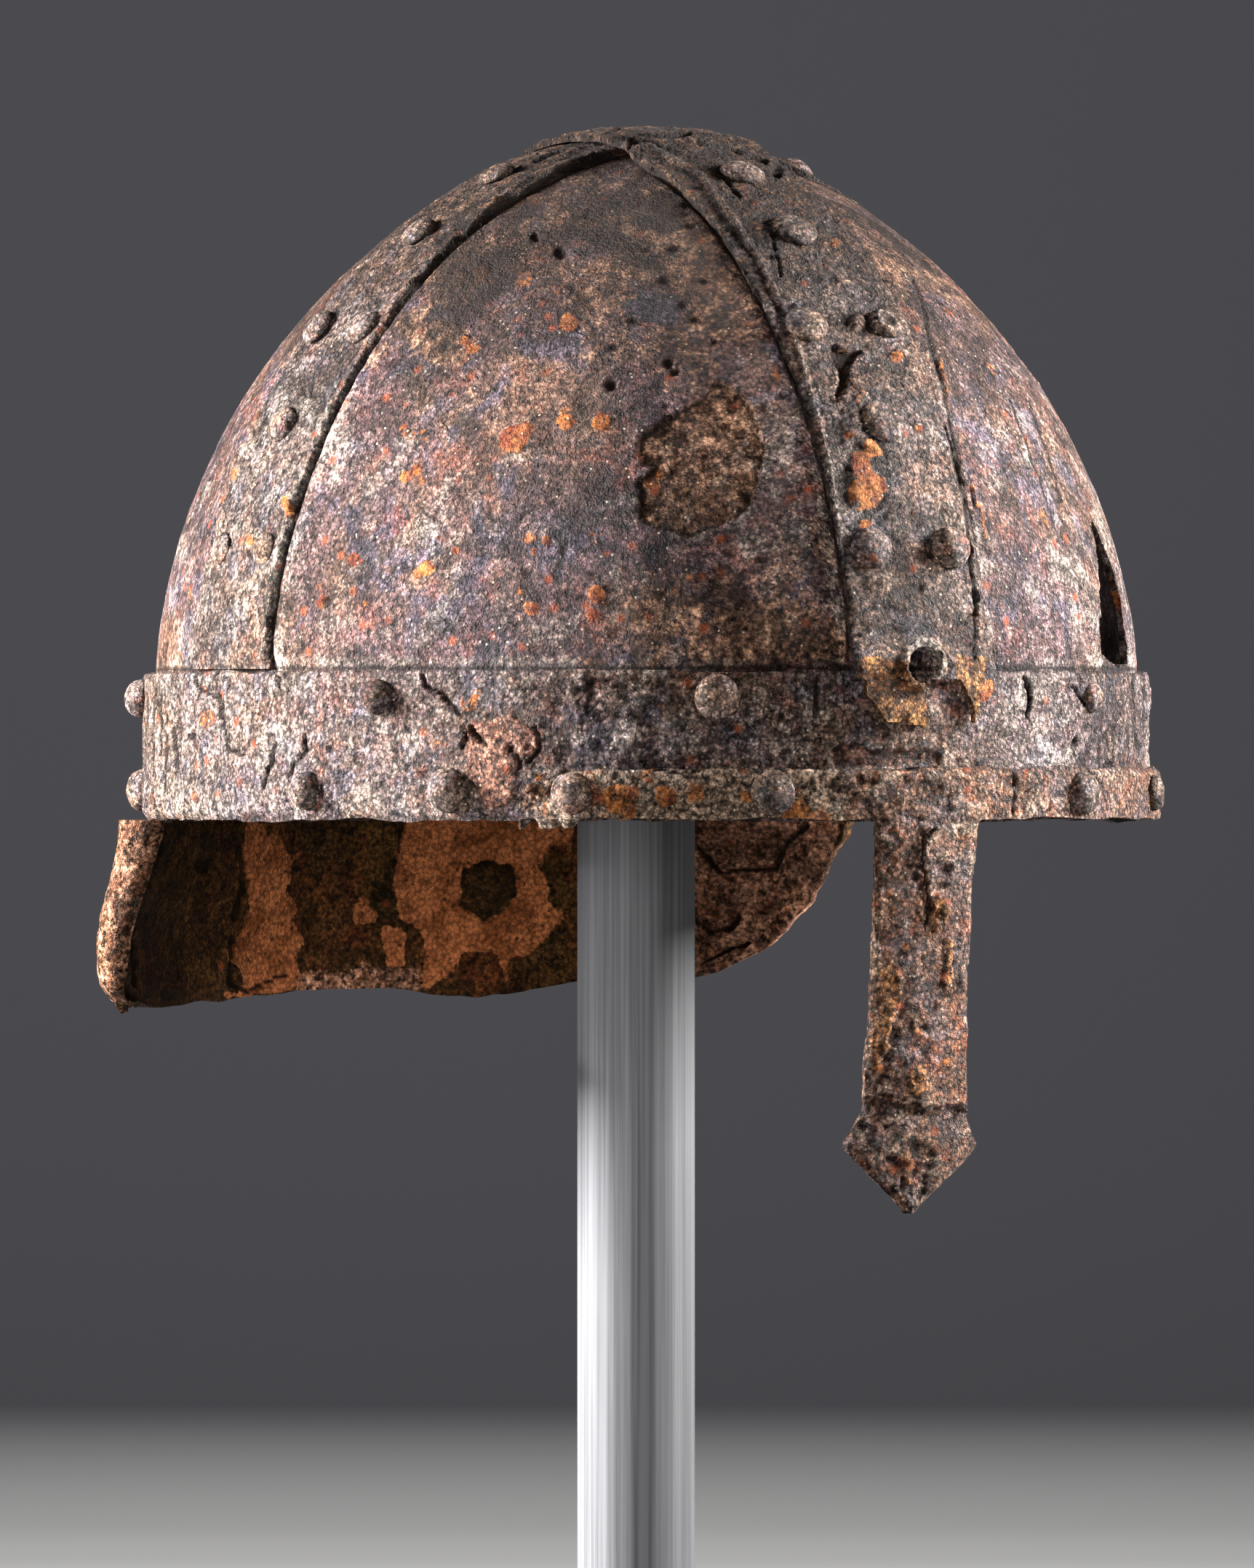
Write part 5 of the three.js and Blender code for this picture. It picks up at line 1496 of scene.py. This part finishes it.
# Floor, backdrop and light
def addStage():
    # A pale floor that sweeps up behind into a plain backdrop
    depth, bend, wall = 2.2, 0.8, 3.0
    bpy.ops.mesh.primitive_grid_add(x_subdivisions=2, y_subdivisions=32, size=2)
    sweep = bpy.context.object
    sweep.name = "floorSweep"
    flat = coordinates(sweep.data)
    t = (flat[:, 1] + 1) / 2
    arc = np.clip((t - 0.4) / 0.2, 0, 1) * math.pi / 2
    back = np.where(t < 0.4, -4 + (depth + 4) * t / 0.4, depth + bend * np.sin(arc))
    up = np.where(t > 0.6, bend + wall * (t - 0.6) / 0.4, bend * (1 - np.cos(arc)))
    place = np.stack([flat[:, 0] * 5, back, up], -1)
    turned = np.stack([rightward, -backward, np.array([0, 0, 1.0])])
    sweep.data.vertices.foreach_set("co", (place @ turned).ravel())
    bpy.ops.object.shade_smooth()
    paint, tree, shader, place = plainMaterial("palePaint")
    height = add(tree, "ShaderNodeSeparateXYZ", [("Vector", place)]).outputs["Z"]
    reach = add(tree, "ShaderNodeVectorMath", [(0, place)], operation="LENGTH").outputs["Value"]
    # Less pale under the lamps, so that it doesn't burn out beside the stand
    perMetreOut = 0.3  # the ramp runs over the first 3.3 m
    ground = ramp(tree, worked(tree, "MULTIPLY", reach, perMetreOut), (0.15, "#3a3938"), (0.6, "#dcdbd9"))
    colour = mixed(tree, ramp(tree, height, (0.0, 0.0), (0.03, 1.0)), ground, "#4d4d52")
    tree.links.new(colour, shader.inputs["Base Color"])
    shader.inputs["Roughness"].default_value = 0.9
    sweep.data.materials.append(paint)
    sweep.select_set(False)


lampLook = {
    # azimuth round from the camera, height and distance in metres, width, height and power in watts
    "keyLeft": (-91, 0.42, 0.8, 0.3, 0.3, 135),
    "keyRight": (99, 0.52, 0.8, 0.3, 0.3, 118),
    "front": (-10, 0.3, 2.0, 0.4, 0.4, 50),
    "low": (-5, 0.02, 1.6, 0.6, 0.3, 20),
    "top": (10, 1.5, 0.5, 0.5, 0.5, 0.3),
}


def addLamp(name, turned, height, distance, width, tall, power):
    data = bpy.data.lights.new(name, "AREA")
    data.shape = "RECTANGLE"
    data.size, data.size_y = width, tall
    data.energy = power
    lamp = bpy.data.objects.new(name, data)
    angle = azimuth + math.radians(turned)
    lamp.location = (math.sin(angle) * distance, -math.cos(angle) * distance, height)
    aim = Vector((0, 0, helmet["rim"] * millimetre + 0.06)) - lamp.location
    lamp.rotation_euler = aim.to_track_quat("-Z", "Y").to_euler()
    bpy.context.scene.collection.objects.link(lamp)


addStage()
for name, settings in lampLook.items():
    addLamp(name, *settings)
world = bpy.data.worlds.new("softRoom")
world.use_nodes = True
world.node_tree.nodes["Background"].inputs["Color"].default_value = linear("#c8ccd4")
world.node_tree.nodes["Background"].inputs["Strength"].default_value = 0.04
bpy.context.scene.world = world
bpy.context.scene.view_settings.view_transform = "Standard"
print("stage and lamps made")
